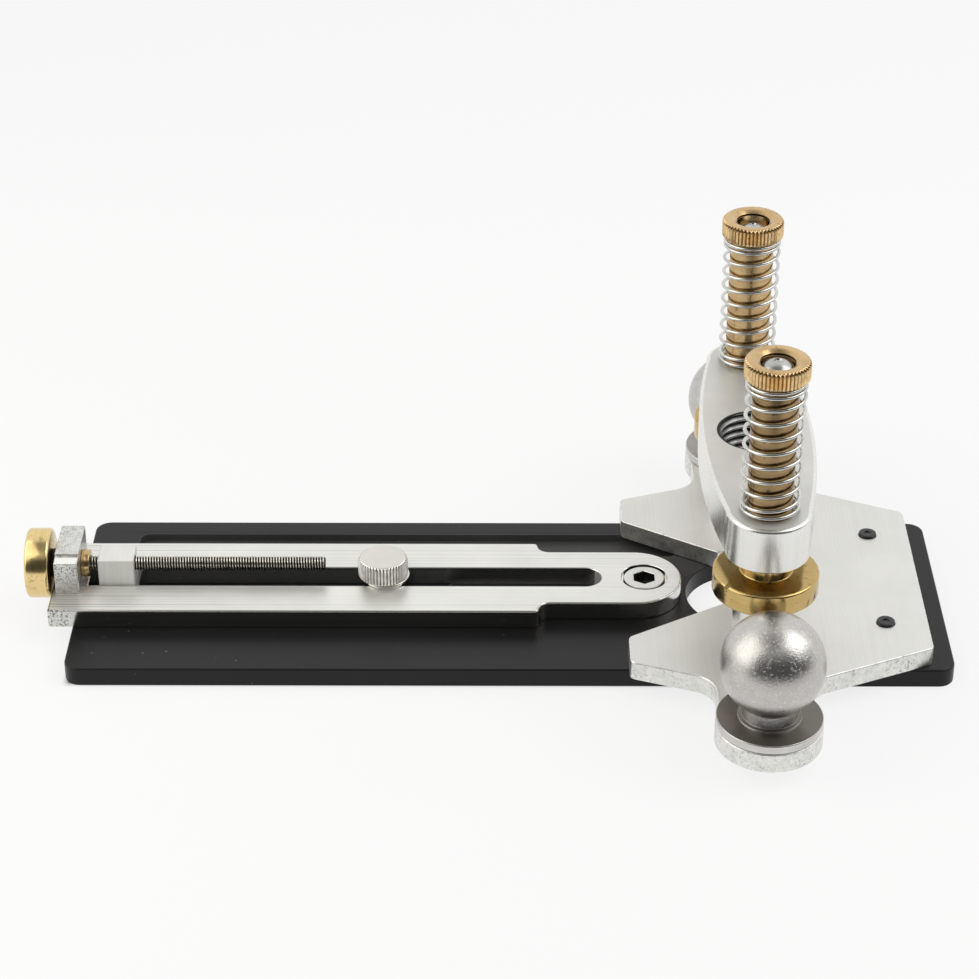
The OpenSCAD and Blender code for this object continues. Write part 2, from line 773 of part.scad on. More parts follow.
module lock_screw() {
    low = arm_top + lock_washer_t;
    color([0.83, 0.82, 0.79]) {
        translate([-lock_x, 0, low])
            knurled_head(lock_head_d, lock_head_h, lock_knurls, lock_knurl_depth, 0.2, lock_rim);
        drill(-lock_x, 0, 0.6, low + 1, lock_shank_d);
    }
}

base_plate();
router_plate();
plate_screws();
front_pedestal();
back_pedestal();
front_stud();
back_stud();
front_handle();
back_handle();
handle_screws();
nut_block();
nut_block_screw();
lock_insert();
lock_washer();
slide_arm();
end_bracket();
bracket_screws();
pivot_bush();
pivot_nut();
lead_screw();
adjust_knob();
knob_set_screw();
knob_washer();
thrust_collar();
lock_screw();
front_spring();
back_spring();
front_sleeve();
back_sleeve();
front_cap();
back_cap();
carriage();
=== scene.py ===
"""Looks of the circle cutting jig: brushed and satin aluminium, brass, bright spring wire
and a black sole plate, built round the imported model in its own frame, in metres."""
from math import acos, cos, pi, radians, sin, sqrt, tan

import bmesh
import bpy
from mathutils import Matrix, Vector
from mathutils.geometry import tessellate_polygon


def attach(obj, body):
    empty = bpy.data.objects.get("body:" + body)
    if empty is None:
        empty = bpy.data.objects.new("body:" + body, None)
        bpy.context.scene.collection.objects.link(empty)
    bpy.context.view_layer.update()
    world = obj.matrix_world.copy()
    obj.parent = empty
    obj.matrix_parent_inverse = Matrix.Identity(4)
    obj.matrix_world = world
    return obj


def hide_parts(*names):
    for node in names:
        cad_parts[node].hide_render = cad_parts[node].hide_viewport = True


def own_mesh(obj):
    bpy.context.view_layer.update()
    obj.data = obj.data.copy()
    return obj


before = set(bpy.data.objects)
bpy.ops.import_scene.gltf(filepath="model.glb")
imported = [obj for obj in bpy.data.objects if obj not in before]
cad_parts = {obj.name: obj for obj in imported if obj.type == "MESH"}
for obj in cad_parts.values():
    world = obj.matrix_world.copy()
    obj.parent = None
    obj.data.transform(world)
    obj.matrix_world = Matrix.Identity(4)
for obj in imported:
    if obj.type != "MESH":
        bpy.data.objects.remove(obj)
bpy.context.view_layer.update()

# Sizes that several pieces share, in millimetres

MM = 0.001
FRONT, BACK = -1, 1
SIDES = (("front", FRONT), ("back", BACK))
SOLE_LEFT, SOLE_RIGHT, SOLE_HALF = -171.3, 48.7, 34.5
SOLE_Z, PLATE_Z = 5.0, 10.0
HANDLE_Y, COLUMN_Y = 63.5, 37.3
PIVOT_X, LOCK_X, SCREW_Z = -26.8, -93.5, 14.0
PLATE_SCREW_X, PLATE_SCREW_Y = 32.5, 20.7
BRACKET_SCREW_X, BRACKET_SCREW_Y = -173.1, 5.4
CARRIAGE_LOW, CARRIAGE_HIGH = 41.3, 53.1
TOOL_RING_R = 10.0


# Node trees: one wrapped socket, with arithmetic that adds nodes

class Wire:
    """A socket in a node tree. Sums on it add Math nodes, and node() adds any other node."""

    def __init__(self, tree, socket=None):
        self.tree = tree
        self.socket = socket

    def node(self, kind, inputs=None, out=0, **settings):
        """Adds a node of some kind, with its settings and the values or links of its sockets."""
        made = self.tree.nodes.new(kind)
        for key, value in settings.items():
            setattr(made, key, value)
        for key, value in (inputs or {}).items():
            target = made.inputs[key]
            if isinstance(value, Wire):
                self.tree.links.new(value.socket, target)
            else:
                target.default_value = value
        return Wire(self.tree, made.outputs[out]) if len(made.outputs) else None

    def math(self, operation, *others):
        return self.node("ShaderNodeMath", dict(enumerate([self, *others])), operation=operation)

    def __add__(self, other):
        return self.math("ADD", other)

    def __sub__(self, other):
        return self.math("SUBTRACT", other)

    def __mul__(self, other):
        return self.math("MULTIPLY", other)

    def __truediv__(self, other):
        return self.math("DIVIDE", other)

    def __rsub__(self, other):
        return self.node("ShaderNodeMath", {0: other, 1: self}, operation="SUBTRACT")

    __radd__ = __add__
    __rmul__ = __mul__

    def clamp(self, low=0.0, high=1.0):
        return self.math("MAXIMUM", low).math("MINIMUM", high)

    def axes(self):
        """The three numbers of this vector."""
        first = self.node("ShaderNodeSeparateXYZ", {0: self})
        return [Wire(self.tree, part) for part in first.socket.node.outputs]

    def stretch(self, x, y, z):
        """This vector with its axes scaled."""
        return self.node("ShaderNodeVectorMath", {0: self, 1: (x, y, z)}, operation="MULTIPLY")

    def mix(self, low, high):
        """Colour from low to high, by this value."""
        return self.node("ShaderNodeMix", {0: self, 6: low, 7: high}, out=2, data_type="RGBA")

    def noise(self, scale=1.0, detail=2.0, rough=0.5):
        """Noise that this place reads, from 0 to 1."""
        inputs = {"Vector": self, "Scale": scale, "Detail": detail, "Roughness": rough}
        return self.node("ShaderNodeTexNoise", inputs, noise_dimensions="3D")

    def step(self, low, high):
        """This value taken from low..high to 0..1, and held there."""
        return self.node("ShaderNodeMapRange", {0: self, 1: low, 2: high, 3: 0.0, 4: 1.0}, clamp=True)


def rgb(r, g, b):
    return (r, g, b, 1.0)


def grey(v):
    return (v, v, v, 1.0)


def steel(v):
    """A grey with the slight warmth of bare metal."""
    return (v, v * 0.998, v * 0.955, 1.0)


def scaled(colour, share):
    return (*(c * share for c in colour[:3]), 1.0)


# Finishes

BRUSH_X = (5.0, 5200.0, 5200.0)
BRUSH_Y = (5200.0, 14.0, 5200.0)
BRUSH_Z = (1400.0, 1400.0, 16.0)


class Finish:
    """A new material with its shader, and the place on the piece as a vector."""

    def __init__(self, name, **fixed):
        self.material = bpy.data.materials.new(name)
        self.material.use_nodes = True
        tree = self.material.node_tree
        self.shader = tree.nodes["Principled BSDF"]
        self.place = Wire(tree).node("ShaderNodeTexCoord", out="Object")
        for key, value in fixed.items():
            self.shader.inputs[key.replace("_", " ")].default_value = value

    def set(self, key, wire):
        self.material.node_tree.links.new(wire.socket, self.shader.inputs[key])

    def bump(self, height, distance):
        inputs = {"Height": height, "Distance": distance, "Strength": 1.0}
        self.set("Normal", height.node("ShaderNodeBump", inputs))


def brushed_metal(name, dark, light, rough, lines, relief, metal=1.0, spread=0.10):
    """Metal with fine parallel brush lines. lines scales the place: low along the brushing."""
    f = Finish(name, Metallic=metal)
    line = f.place.stretch(*lines).noise(1.0, 4.0, 0.65)
    cloud = f.place.noise(55.0, 3.0)
    f.set("Base Color", (line.step(0.25, 0.75) * 0.6 + cloud.step(0.3, 0.7) * 0.4).mix(dark, light))
    f.set("Roughness", rough + spread * (line - 0.5) + spread * 0.6 * (cloud - 0.5))
    f.bump(line, relief)
    return f.material


def cut_metal(name, dark, light, rough, grain, pits, wide, relief):
    """Sawn edge of an aluminium plate: a soft mottle, with dark pits in clusters.
    wide is the share of the fine grain that sinks into pits."""
    f = Finish(name, Metallic=1.0)
    patch = f.place.noise(grain, 4.0, 0.7)
    fine = f.place.noise(grain * 3.5, 3.0, 0.6)
    crowd = f.place.noise(grain * 0.22, 2.0, 0.5).step(0.42, 0.62)
    pit = (1 - fine.step(wide - 0.08, wide)) * (0.15 + 0.85 * crowd)
    mottle = patch.step(0.30, 0.65) * 0.6 + fine.step(0.3, 0.7) * 0.4
    f.set("Base Color", (pits * pit).mix(mottle.mix(dark, light), grey(0.10)))
    f.set("Roughness", rough + 0.2 * (patch - 0.5) + 0.2 * pits * pit)
    f.bump(patch * 0.5 + fine * 0.5 - pits * pit, relief)
    return f.material


def turned_metal(name, dark, light, rough, rings, relief, pits=0.0, axis="Z", speckle=900.0):
    """Metal turned on a lathe: fine rings across its axis, soft clouds and a few dark pits."""
    f = Finish(name, Metallic=1.0)
    along = {"X": (rings, 40, 40), "Z": (40, 40, rings)}[axis]
    line = f.place.stretch(*along).noise(1.0, 3.0, 0.6)
    cloud = f.place.noise(160.0, 4.0, 0.65)
    colour = (line.step(0.3, 0.7) * 0.45 + cloud.step(0.28, 0.72) * 0.55).mix(dark, light)
    if pits:
        speck = 1 - f.place.noise(speckle, 2.0, 0.5).step(0.29, 0.37)
        crowd = f.place.noise(speckle * 0.2, 2.0, 0.5).step(0.40, 0.60)
        colour = (pits * (0.3 + 0.7 * crowd) * speck).mix(colour, scaled(dark, 0.18))
    f.set("Base Color", colour)
    f.set("Roughness", rough + 0.14 * (cloud - 0.5) + 0.1 * (line - 0.5))
    f.bump(line * 0.7 + cloud * 0.3, relief)
    return f.material


def arm_top_metal(name):
    """Top of the arm: long brush lines along X, deeper and darker towards the end with the bracket."""
    f = Finish(name, Metallic=0.75)
    worn = 1 - f.place.axes()[0].step(-0.172, -0.125)
    line = f.place.stretch(*BRUSH_X).noise(1.0, 4.0, 0.65)
    deep = f.place.stretch(1.6, 2000.0, 2000.0).noise(1.0, 3.0, 0.7).step(0.50, 0.68)
    cloud = f.place.noise(55.0, 3.0)
    tone = line.step(0.25, 0.75) * 0.6 + cloud.step(0.3, 0.7) * 0.4
    metal = tone.mix(steel(0.70), steel(0.92))
    f.set("Base Color", (deep * (0.24 + 0.50 * worn)).mix(metal, grey(0.22)))
    f.set("Roughness", 0.34 + 0.14 * (line - 0.5) + 0.10 * deep)
    f.bump(line + 0.6 * deep * worn, 14e-6)
    return f.material


def arm_side_metal(name):
    """Side of the arm: a dark mirror of the sole plate, left rough from the saw near its free end."""
    f = Finish(name, Metallic=1.0)
    sawn = 1 - f.place.axes()[0].step(-0.1730, -0.1700)
    line = f.place.stretch(14.0, 3000.0, 3000.0).noise(1.0, 4.0, 0.65)
    fine = f.place.noise(1500.0, 3.0, 0.7)
    pit = (1 - fine.step(0.40, 0.50)) * sawn * 0.95
    f.set("Base Color", pit.mix(line.step(0.25, 0.75).mix(steel(0.58), steel(0.84)), grey(0.08)))
    f.set("Roughness", 0.13 + 0.10 * (line - 0.5) + 0.36 * sawn * fine.step(0.3, 0.7))
    f.bump(line * 0.12 + fine * sawn, 30e-6)
    return f.material


def grooved_metal(name, dark, light, rough, axis, centre, root, crest, metal=1.0):
    """Threaded or knurled metal with painted shade that darkens it towards its roots, by the distance from
    its axis.
    axis is 0 for X or 2 for Z; centre, root and crest are in millimetres."""
    f = Finish(name, Metallic=metal)
    places = f.place.axes()
    places.pop(axis)
    u, v = (place - middle * MM for place, middle in zip(places, centre))
    radius = (u * u + v * v).math("SQRT")
    wear = f.place.noise(600.0, 3.0, 0.6)
    # Painted shade: dark in the roots, light on the crests
    bright = radius.step(root * MM, crest * MM) * (0.6 + 0.4 * wear.step(0.3, 0.6))
    f.set("Base Color", bright.mix(dark, light))
    f.set("Roughness", rough + 0.20 * (1 - bright))
    return f.material


def blasted_metal(name, dark, light, rough, relief):
    """Satin metal with the fine grain of blasting and a few bright scuffs."""
    f = Finish(name, Metallic=1.0)
    grain = f.place.noise(2600.0, 2.0, 0.6)
    cloud = f.place.noise(190.0, 4.0, 0.7)
    scuff = f.place.noise(1400.0, 3.0, 0.7).step(0.57, 0.66)
    tone = (cloud.step(0.3, 0.7) * 0.5 + grain.step(0.3, 0.7) * 0.5).mix(dark, light)
    f.set("Base Color", (0.5 * scuff).mix(tone, rgb(0.86, 0.84, 0.80)))
    f.set("Roughness", rough + 0.12 * (cloud - 0.5) + 0.10 * scuff)
    f.bump(grain + 0.4 * scuff, relief)
    return f.material


def black_coat(name, colour, rough, dust=0.0, **fixed):
    """Black coated plate with a fine satin texture and specks of dust."""
    f = Finish(name, **fixed)
    texture = f.place.noise(3800.0, 2.0, 0.6)
    cloud = f.place.noise(24.0, 3.0, 0.5)
    tone = cloud.step(0.3, 0.7).mix(colour, scaled(colour, 1.5))
    if dust:
        speck = f.place.noise(700.0, 1.0, 0.4).step(0.80, 0.84)
        tone = (speck * dust).mix(tone, grey(0.6))
    f.set("Base Color", tone)
    f.set("Roughness", rough + 0.12 * (cloud - 0.5) + 0.05 * (texture - 0.5))
    f.bump(texture, 6e-6)
    return f.material


# Aluminium

ARM_TOP = arm_top_metal("arm_brushed")
ARM_EDGE = arm_side_metal("arm_edge")
# Painted light: a brighter copy of the arm's edge finish for the round end of its slot
SLOT_END_LIT = brushed_metal("slot_end_painted_light", steel(0.62), steel(0.80),
                         rough=0.32, lines=BRUSH_Z, relief=4e-6, metal=0.7)
PLATE_TOP = brushed_metal("plate_brushed", steel(0.70), steel(0.87),
                          rough=0.42, lines=BRUSH_Y, relief=12e-6, metal=0.6)
PLATE_EDGE = cut_metal("plate_sawn_edge", steel(0.60), steel(0.90),
                       rough=0.36, grain=420.0, pits=0.55, wide=0.42, relief=30e-6)
BRACKET_METAL = cut_metal("bracket_pitted", steel(0.50), steel(0.84),
                          rough=0.36, grain=760.0, pits=0.95, wide=0.455, relief=50e-6)
# Painted highlight on the ledge along the front of the bracket's top
BRACKET_LEDGE_HIGHLIGHT = brushed_metal("bracket_ledge_painted_highlight", steel(0.90), steel(0.98),
                              rough=0.22, lines=BRUSH_X, relief=4e-6)
NUT_METAL = brushed_metal("nut_block_satin", steel(0.68), steel(0.82),
                          rough=0.48, lines=(900, 60, 60), relief=8e-6, metal=0.5, spread=0.12)
CARRIAGE_METAL = brushed_metal("carriage_satin", steel(0.63), steel(0.73),
                               rough=0.42, lines=(90, 90, 90), relief=6e-6, metal=0.6)
CARRIAGE_SIDE = brushed_metal("carriage_side", steel(0.71), steel(0.87),
                              rough=0.28, lines=BRUSH_Z, relief=4e-6)
# Painted shade darkens the roots of the tool thread
THREAD_METAL = grooved_metal("tool_thread_cut", steel(0.04), steel(0.40),
                             rough=0.26, axis=2, centre=(0, 0), root=9.40, crest=8.75)
PEDESTAL_METAL = turned_metal("pedestal_turned", steel(0.60), steel(0.80),
                              rough=0.26, rings=2200.0, relief=8e-6)

# Steel and nickel

BALL_STEEL = blasted_metal("ball_blasted", rgb(0.44, 0.425, 0.40), rgb(0.62, 0.605, 0.58),
                           rough=0.29, relief=50e-6)
# Painted shade on the tops of the flanges, darker at the front than at the back
FLANGE_TOP_SHADE = {
    "front": turned_metal("front_flange_painted_shade", rgb(0.13, 0.12, 0.105), rgb(0.20, 0.185, 0.165),
                          rough=0.30, rings=60.0, relief=8e-6),
    "back": turned_metal("back_flange_painted_shade", rgb(0.26, 0.25, 0.23), rgb(0.38, 0.365, 0.34),
                         rough=0.30, rings=60.0, relief=8e-6),
}
FLANGE_RIM = turned_metal("flange_rim", rgb(0.48, 0.47, 0.45), rgb(0.72, 0.71, 0.68),
                          rough=0.26, rings=2400.0, relief=10e-6)
STUD_STEEL = turned_metal("stud_bright", steel(0.36), steel(0.62), rough=0.26, rings=1500.0, relief=6e-6)
WIRE_STEEL = turned_metal("spring_wire", steel(0.50), steel(0.76), rough=0.09, rings=600.0, relief=3e-6)
SCREW_STEEL = turned_metal("screw_steel", steel(0.50), steel(0.72), rough=0.20, rings=700.0, relief=3e-6)
# Painted shade darkens the roots of the lead screw's thread
LEAD_STEEL = grooved_metal("lead_screw_steel", steel(0.05), rgb(0.95, 0.92, 0.84),
                           rough=0.16, axis=0, centre=(0, SCREW_Z), root=1.60, crest=1.88)
NICKEL = turned_metal("lock_nickel", rgb(0.64, 0.625, 0.575), rgb(0.76, 0.745, 0.685),
                      rough=0.18, rings=1800.0, relief=5e-6)
# Painted shade darkens the roots of the knurl
LOCK_KNURL = grooved_metal("lock_knurl_nickel", steel(0.08), rgb(0.99, 0.975, 0.92),
                           rough=0.14, axis=2, centre=(LOCK_X, 0), root=5.86, crest=6.06, metal=0.42)
PIVOT_STEEL = turned_metal("pivot_steel", steel(0.58), steel(0.76), rough=0.22, rings=900.0, relief=5e-6)
# Painted shade in the pivot bush's socket and bore
SOCKET_SHADE = turned_metal("socket_painted_shade", steel(0.10), steel(0.24), rough=0.35, rings=900.0, relief=5e-6)

# Brass and bronze

KNOB_BRASS = turned_metal("knob_brass", rgb(0.68, 0.50, 0.21), rgb(0.90, 0.71, 0.36),
                          rough=0.20, rings=900.0, relief=6e-6, pits=0.7, axis="X", speckle=620.0)
WHEEL_BRASS = turned_metal("wheel_brass", rgb(0.45, 0.31, 0.115), rgb(0.62, 0.455, 0.195),
                           rough=0.16, rings=2000.0, relief=6e-6, pits=0.85, speckle=760.0)
# Painted shade: the front sleeve is a darker copy of the back one
SLEEVE_BRASS = {
    "front": turned_metal("front_sleeve_bronze_painted_shade", rgb(0.13, 0.08, 0.034), rgb(0.47, 0.335, 0.175),
                          rough=0.16, rings=1200.0, relief=6e-6, pits=0.7, speckle=420.0),
    "back": turned_metal("back_sleeve_bronze", rgb(0.38, 0.255, 0.12), rgb(0.66, 0.48, 0.26),
                         rough=0.16, rings=1200.0, relief=6e-6, pits=0.7, speckle=420.0),
}
CAP_BRASS = turned_metal("cap_brass", rgb(0.47, 0.30, 0.125), rgb(0.74, 0.535, 0.29),
                         rough=0.24, rings=1800.0, relief=8e-6, pits=0.8, speckle=700.0)
# Painted shade darkens the roots of the cap knurls
CAP_KNURL = {
    side: grooved_metal(f"{side}_cap_knurl", rgb(0.33, 0.20, 0.075), rgb(0.84, 0.61, 0.325),
                        rough=0.24, axis=2, centre=(0, s * COLUMN_Y), root=7.22, crest=7.46)
    for side, s in SIDES
}
# Painted shade down in the caps' holes
CAP_HOLE_SHADE = turned_metal("cap_hole_painted_shade", rgb(0.07, 0.045, 0.02), rgb(0.16, 0.10, 0.05),
                        rough=0.30, rings=900.0, relief=8e-6)
COLLAR_BRASS = turned_metal("collar_bronze", rgb(0.50, 0.34, 0.155), rgb(0.74, 0.53, 0.27),
                            rough=0.22, rings=1500.0, relief=6e-6, pits=0.3, axis="X")

# Black pieces

BLACK_SOLE = black_coat("sole_black", rgb(0.006, 0.006, 0.0062), 0.34, dust=0.3, Specular_IOR_Level=0.255)
BLACK_GROOVE = black_coat("groove_black", grey(0.036), 0.50, dust=0.2, Specular_IOR_Level=0.5)
# Painted light: a lighter black on the upright walls of the sole's slot
BLACK_SLOT_LIT = black_coat("slot_wall_painted_light", grey(0.10), 0.55, Specular_IOR_Level=0.3)
BLACK_OXIDE = black_coat("screw_black", rgb(0.008, 0.008, 0.009), 0.22)
# Painted shade: the washer is black to stand for the shade between knob and bracket
WASHER_SHADE_BLACK = black_coat("washer_painted_shade", grey(0.006), 0.50, Specular_IOR_Level=0.3)


# Outlines and wall profiles

def rounded(points, radii, steps=5):
    """A closed outline with its corners rounded by the given radii."""
    path, n = [], len(points)
    for i, r in enumerate(radii):
        p, a, b = (Vector(points[k % n]) for k in (i, i - 1, i + 1))
        if r <= 0:
            path.append(p)
            continue
        u, v = (a - p).normalized(), (b - p).normalized()
        half = acos(max(-1.0, min(1.0, u.dot(v)))) / 2
        centre = p + (u + v).normalized() * (r / sin(half))
        start, end = p + u * (r / tan(half)) - centre, p + v * (r / tan(half)) - centre
        path += [centre + start.slerp(end, k / steps).normalized() * r for k in range(steps + 1)]
    return [tuple(p) for p in path]


def ring(x, y, r, n=48):
    """A circle, counter-clockwise."""
    return [(x + r * cos(2 * pi * k / n), y + r * sin(2 * pi * k / n)) for k in range(n)]


def arc(x, y, r, first, last, n):
    """n + 1 points on a circle, between two angles."""
    angles = [first + (last - first) * k / n for k in range(n + 1)]
    return [(x + r * cos(a), y + r * sin(a)) for a in angles]


def long_hole(x0, x1, w, square_left=False):
    """A slot along X between two ends, counter-clockwise."""
    r = w / 2
    right = arc(x1 - r, 0, r, -pi / 2, pi / 2, 14)
    if square_left:
        return right + [(x0, r), (x0, -r)]
    return right + [(x0 + x1 - x, -y) for x, y in right]


def box_outline(x0, x1, y0, y1, r, steps=6):
    """A rectangle with round corners."""
    return rounded([(x0, y0), (x1, y0), (x1, y1), (x0, y1)], [r] * 4, steps)


def edge_profile(z0, z1, low, high, steps=4):
    """Wall from z0 to z1 with rounded edges, as (inset into the material, height)."""
    turn = [k / steps * pi / 2 for k in range(steps + 1)]
    bottom = [(low * (1 - sin(a)), z0 + low * (1 - cos(a))) for a in turn]
    top = [(high * (1 - cos(a)), z1 - high * (1 - sin(a))) for a in turn]
    return bottom + top


def countersunk(r, head_r, head_h, z0, z1):
    """Wall of a screw hole that widens to its head at the bottom."""
    return [(head_r - r, z0), (0, z0 + head_h), (0, z1)]


def straight(z0, z1):
    """Wall of a plain hole, with its edges just broken."""
    return edge_profile(z0, z1, 0.15, 0.25, 2)


def inset_loop(points, d):
    """A closed loop moved to its left by d."""
    if not d:
        return list(points)
    moved, n = [], len(points)
    for i, p in enumerate(points):
        a, b = points[i - 1], points[(i + 1) % n]
        n1 = Vector((a[1] - p[1], p[0] - a[0])).normalized()
        n2 = Vector((p[1] - b[1], b[0] - p[0])).normalized()
        m = n1 + n2
        m = m / max(0.25, m.dot(n1)) if m.length > 1e-6 else n1
        moved.append((p[0] + m.x * d, p[1] + m.y * d))
    return moved


# Pieces and meshes

def new_piece(name, mesh, body, nodes, sharp=40):
    """A finished piece in the scene, which rides on a body and stands for CAD nodes."""
    for face in mesh.polygons:
        face.use_smooth = True
    mesh.set_sharp_from_angle(angle=radians(sharp))
    piece = bpy.data.objects.new(name, mesh)
    bpy.context.scene.collection.objects.link(piece)
    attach(piece, body)
    if nodes:
        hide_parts(*nodes)
    return piece


def plain_mesh(piece):
    """The piece's mesh with its modifiers worked in."""
    shape = bpy.data.meshes.new_from_object(piece.evaluated_get(bpy.context.evaluated_depsgraph_get()))
    piece.modifiers.clear()
    return shape


def milled_piece(name, mesh, body, node, sharp=40):
    """A piece whose flat faces stay flat beside their rounded edges."""
    piece = new_piece(name, mesh, body, [node], sharp)
    even = piece.modifiers.new("even", "WEIGHTED_NORMAL")
    even.keep_sharp = True
    even.weight = 100
    piece.data = plain_mesh(piece)


def add_finishes(mesh, finishes, choose):
    """Adds finishes to a mesh. choose takes a face and gives the number of its finish."""
    for finish in finishes:
        mesh.materials.append(finish)
    for face in mesh.polygons:
        face.material_index = choose(face)


def clean_mesh(mesh):
    """Merges doubled points and turns every face outwards."""
    bm = bmesh.new()
    bm.from_mesh(mesh)
    bmesh.ops.remove_doubles(bm, verts=bm.verts, dist=1e-7)
    bmesh.ops.dissolve_degenerate(bm, edges=bm.edges, dist=1e-8)
    bmesh.ops.recalc_face_normals(bm, faces=bm.faces)
    bm.to_mesh(mesh)
    bm.free()
    return mesh


def milled(name, walls, pockets, finishes, turn=None):
    """A milled mesh. walls are (loop, profile) with the outer loop first; a profile runs from the
    bottom face to the top face, and a wall with no profile is a list of (loop, height). pockets are
    cut down from the top face in the same way. Loops are counter-clockwise, in millimetres.
    finishes are those of the faces, walls and pockets."""
    verts, faces, kinds = [], [], []
    tops, bottoms = [], []

    def add_ring(points, z):
        first = len(verts)
        verts.extend((x, y, z) for x, y in points)
        return list(range(first, len(verts)))

    def add_stack(loop, profile, hole, kind=1):
        levels = loop if profile is None else [(loop, z, d) for d, z in profile]
        if hole:
            levels = [(level[0][::-1], *level[1:]) for level in levels]
        stack = [add_ring(inset_loop(points, d[0] if d else 0), z) for points, z, *d in levels]
        for low, high in zip(stack, stack[1:]):
            for i in range(len(low)):
                j = (i + 1) % len(low)
                faces.append((low[i], low[j], high[j], high[i]))
                kinds.append(kind)
        return stack

    def add_face(rings, up, kind=0):
        order = [k for r in rings for k in r]
        for tri in tessellate_polygon([[Vector(verts[k]) for k in r] for r in rings]):
            a, b, c = (order[k] for k in tri)
            p, q, r = (Vector(verts[k]) for k in (a, b, c))
            if ((q - p).cross(r - p).z > 0) != up:
                b, c = c, b
            faces.append((a, b, c))
            kinds.append(kind)

    for i, (loop, profile) in enumerate(walls):
        stack = add_stack(loop, profile, i > 0)
        bottoms.append(stack[0])
        tops.append(stack[-1])
    for loop, profile in pockets:
        stack = add_stack(loop, profile, True, 2)
        tops.append(stack[-1])
        add_face([stack[0]], True, 2)
    add_face(bottoms, False)
    add_face(tops, True)
    mesh = bpy.data.meshes.new(name)
    mesh.from_pydata([Vector(v) * MM for v in verts], [], faces)
    for finish in finishes:
        mesh.materials.append(finish)
    mesh.polygons.foreach_set("material_index", [min(k, len(finishes) - 1) for k in kinds])
    if turn:
        mesh.transform(turn)
    return mesh


def drill_hole(piece, start, r, length):
    """Drills a round hole from start towards the back, in millimetres."""
    x, y, z = start
    wall = (ring(x, z, r, 32), [(0, 0), (0, length)])
    hole = milled("drill", [wall], [], [piece.data.materials[0]])
    hole.transform(Matrix(((1, 0, 0, 0), (0, 0, 1, y * MM), (0, 1, 0, 0), (0, 0, 0, 1))))
    tool = bpy.data.objects.new("drill", clean_mesh(hole))
    bpy.context.scene.collection.objects.link(tool)
    cut = piece.modifiers.new("hole", "BOOLEAN")
    cut.operation, cut.solver, cut.object = "DIFFERENCE", "EXACT", tool
    piece.data = plain_mesh(piece)
    bpy.data.objects.remove(tool)


# Geometry Nodes trees for what is turned, threaded, wound or repeated

class Tree(Wire):
    """A Geometry Nodes tree with named inputs."""

    def __init__(self, name, **sizes):
        group = bpy.data.node_groups.new(name, "GeometryNodeTree")
        super().__init__(group)
        group.interface.new_socket("Geometry", in_out="OUTPUT", socket_type="NodeSocketGeometry")
        group.interface.new_socket("Geometry", in_out="INPUT", socket_type="NodeSocketGeometry")
        self.keys = {}
        for key, kind in sizes.items():
            made = group.interface.new_socket(key, in_out="INPUT", socket_type="NodeSocket" + kind)
            self.keys[key] = made.identifier

    def get(self, key):
        return self.node("NodeGroupInput", out=key)

    def sheet(self, rows, around):
        """A sheet to roll up, with the row of each of its points and the share of a turn there."""
        cols = around + 1
        index = self.node("GeometryNodeInputIndex")
        row = (index / cols + 0.0001).math("FLOOR")
        return self.node("GeometryNodeMeshGrid", {2: rows, 3: cols}), row, (index - row * cols) / around

    def round_axis(self, radius, turns, height):
        """The place after some turns round Z."""
        angle = turns * (2 * pi)
        inputs = {0: radius * angle.math("COSINE"), 1: radius * angle.math("SINE"), 2: height}
        return self.node("ShaderNodeCombineXYZ", inputs)

    def roll_up(self, sheet, radius, share, height):
        """Rolls a sheet round Z, closes its seam and ends the tree."""
        place = self.round_axis(radius, share, height)
        shape = self.node("GeometryNodeSetPosition", {"Geometry": sheet, "Position": place})
        self.close(self.node("GeometryNodeMergeByDistance", {"Geometry": shape, "Distance": 1e-6}))

    def close(self, shape):
        """Realizes instances, sets the material and ends the tree."""
        shape = self.node("GeometryNodeRealizeInstances", {0: shape})
        shape = self.node("GeometryNodeSetMaterial", {"Geometry": shape, "Material": self.get("Finish")})
        self.node("NodeGroupOutput", {0: shape})

    def grow(self, points, **sizes):
        """The plain mesh that the tree makes from some points."""
        mesh = bpy.data.meshes.new("start")
        mesh.from_pydata(points, [], [])
        piece = bpy.data.objects.new("start", mesh)
        bpy.context.scene.collection.objects.link(piece)
        made = piece.modifiers.new("grow", "NODES")
        made.node_group = self.tree
        for key, value in sizes.items():
            made[self.keys[key]] = value
        shape = plain_mesh(piece)
        bpy.data.objects.remove(piece)
        bpy.data.meshes.remove(mesh)
        shape.materials.clear()
        shape.materials.append(sizes["Finish"])
        shape.polygons.foreach_set("material_index", [0] * len(shape.polygons))
        return clean_mesh(shape)


def lathe_tree():
    """Turns a profile round Z. A profile point holds its radius, how far the ridges bite there,
    and its height."""
    t = Tree("turned_on_lathe", Around="Int", Ridges="Int", Depth="Float", Finish="Material")
    profile = t.get("Geometry")
    rows = t.node("GeometryNodeAttributeDomainSize", {0: profile})
    sheet, row, share = t.sheet(rows, t.get("Around"))
    place = t.node("GeometryNodeInputPosition")
    spot = t.node("GeometryNodeSampleIndex", {"Geometry": profile, "Index": row, "Value": place},
                  data_type="FLOAT_VECTOR")
    radius, bite, height = spot.axes()
    wave = ((share * t.get("Ridges")).math("FRACT") * 2.0 - 1.0).math("ABSOLUTE")
    t.roll_up(sheet, radius - bite * t.get("Depth") * (1.0 - wave), share, height)
    return t


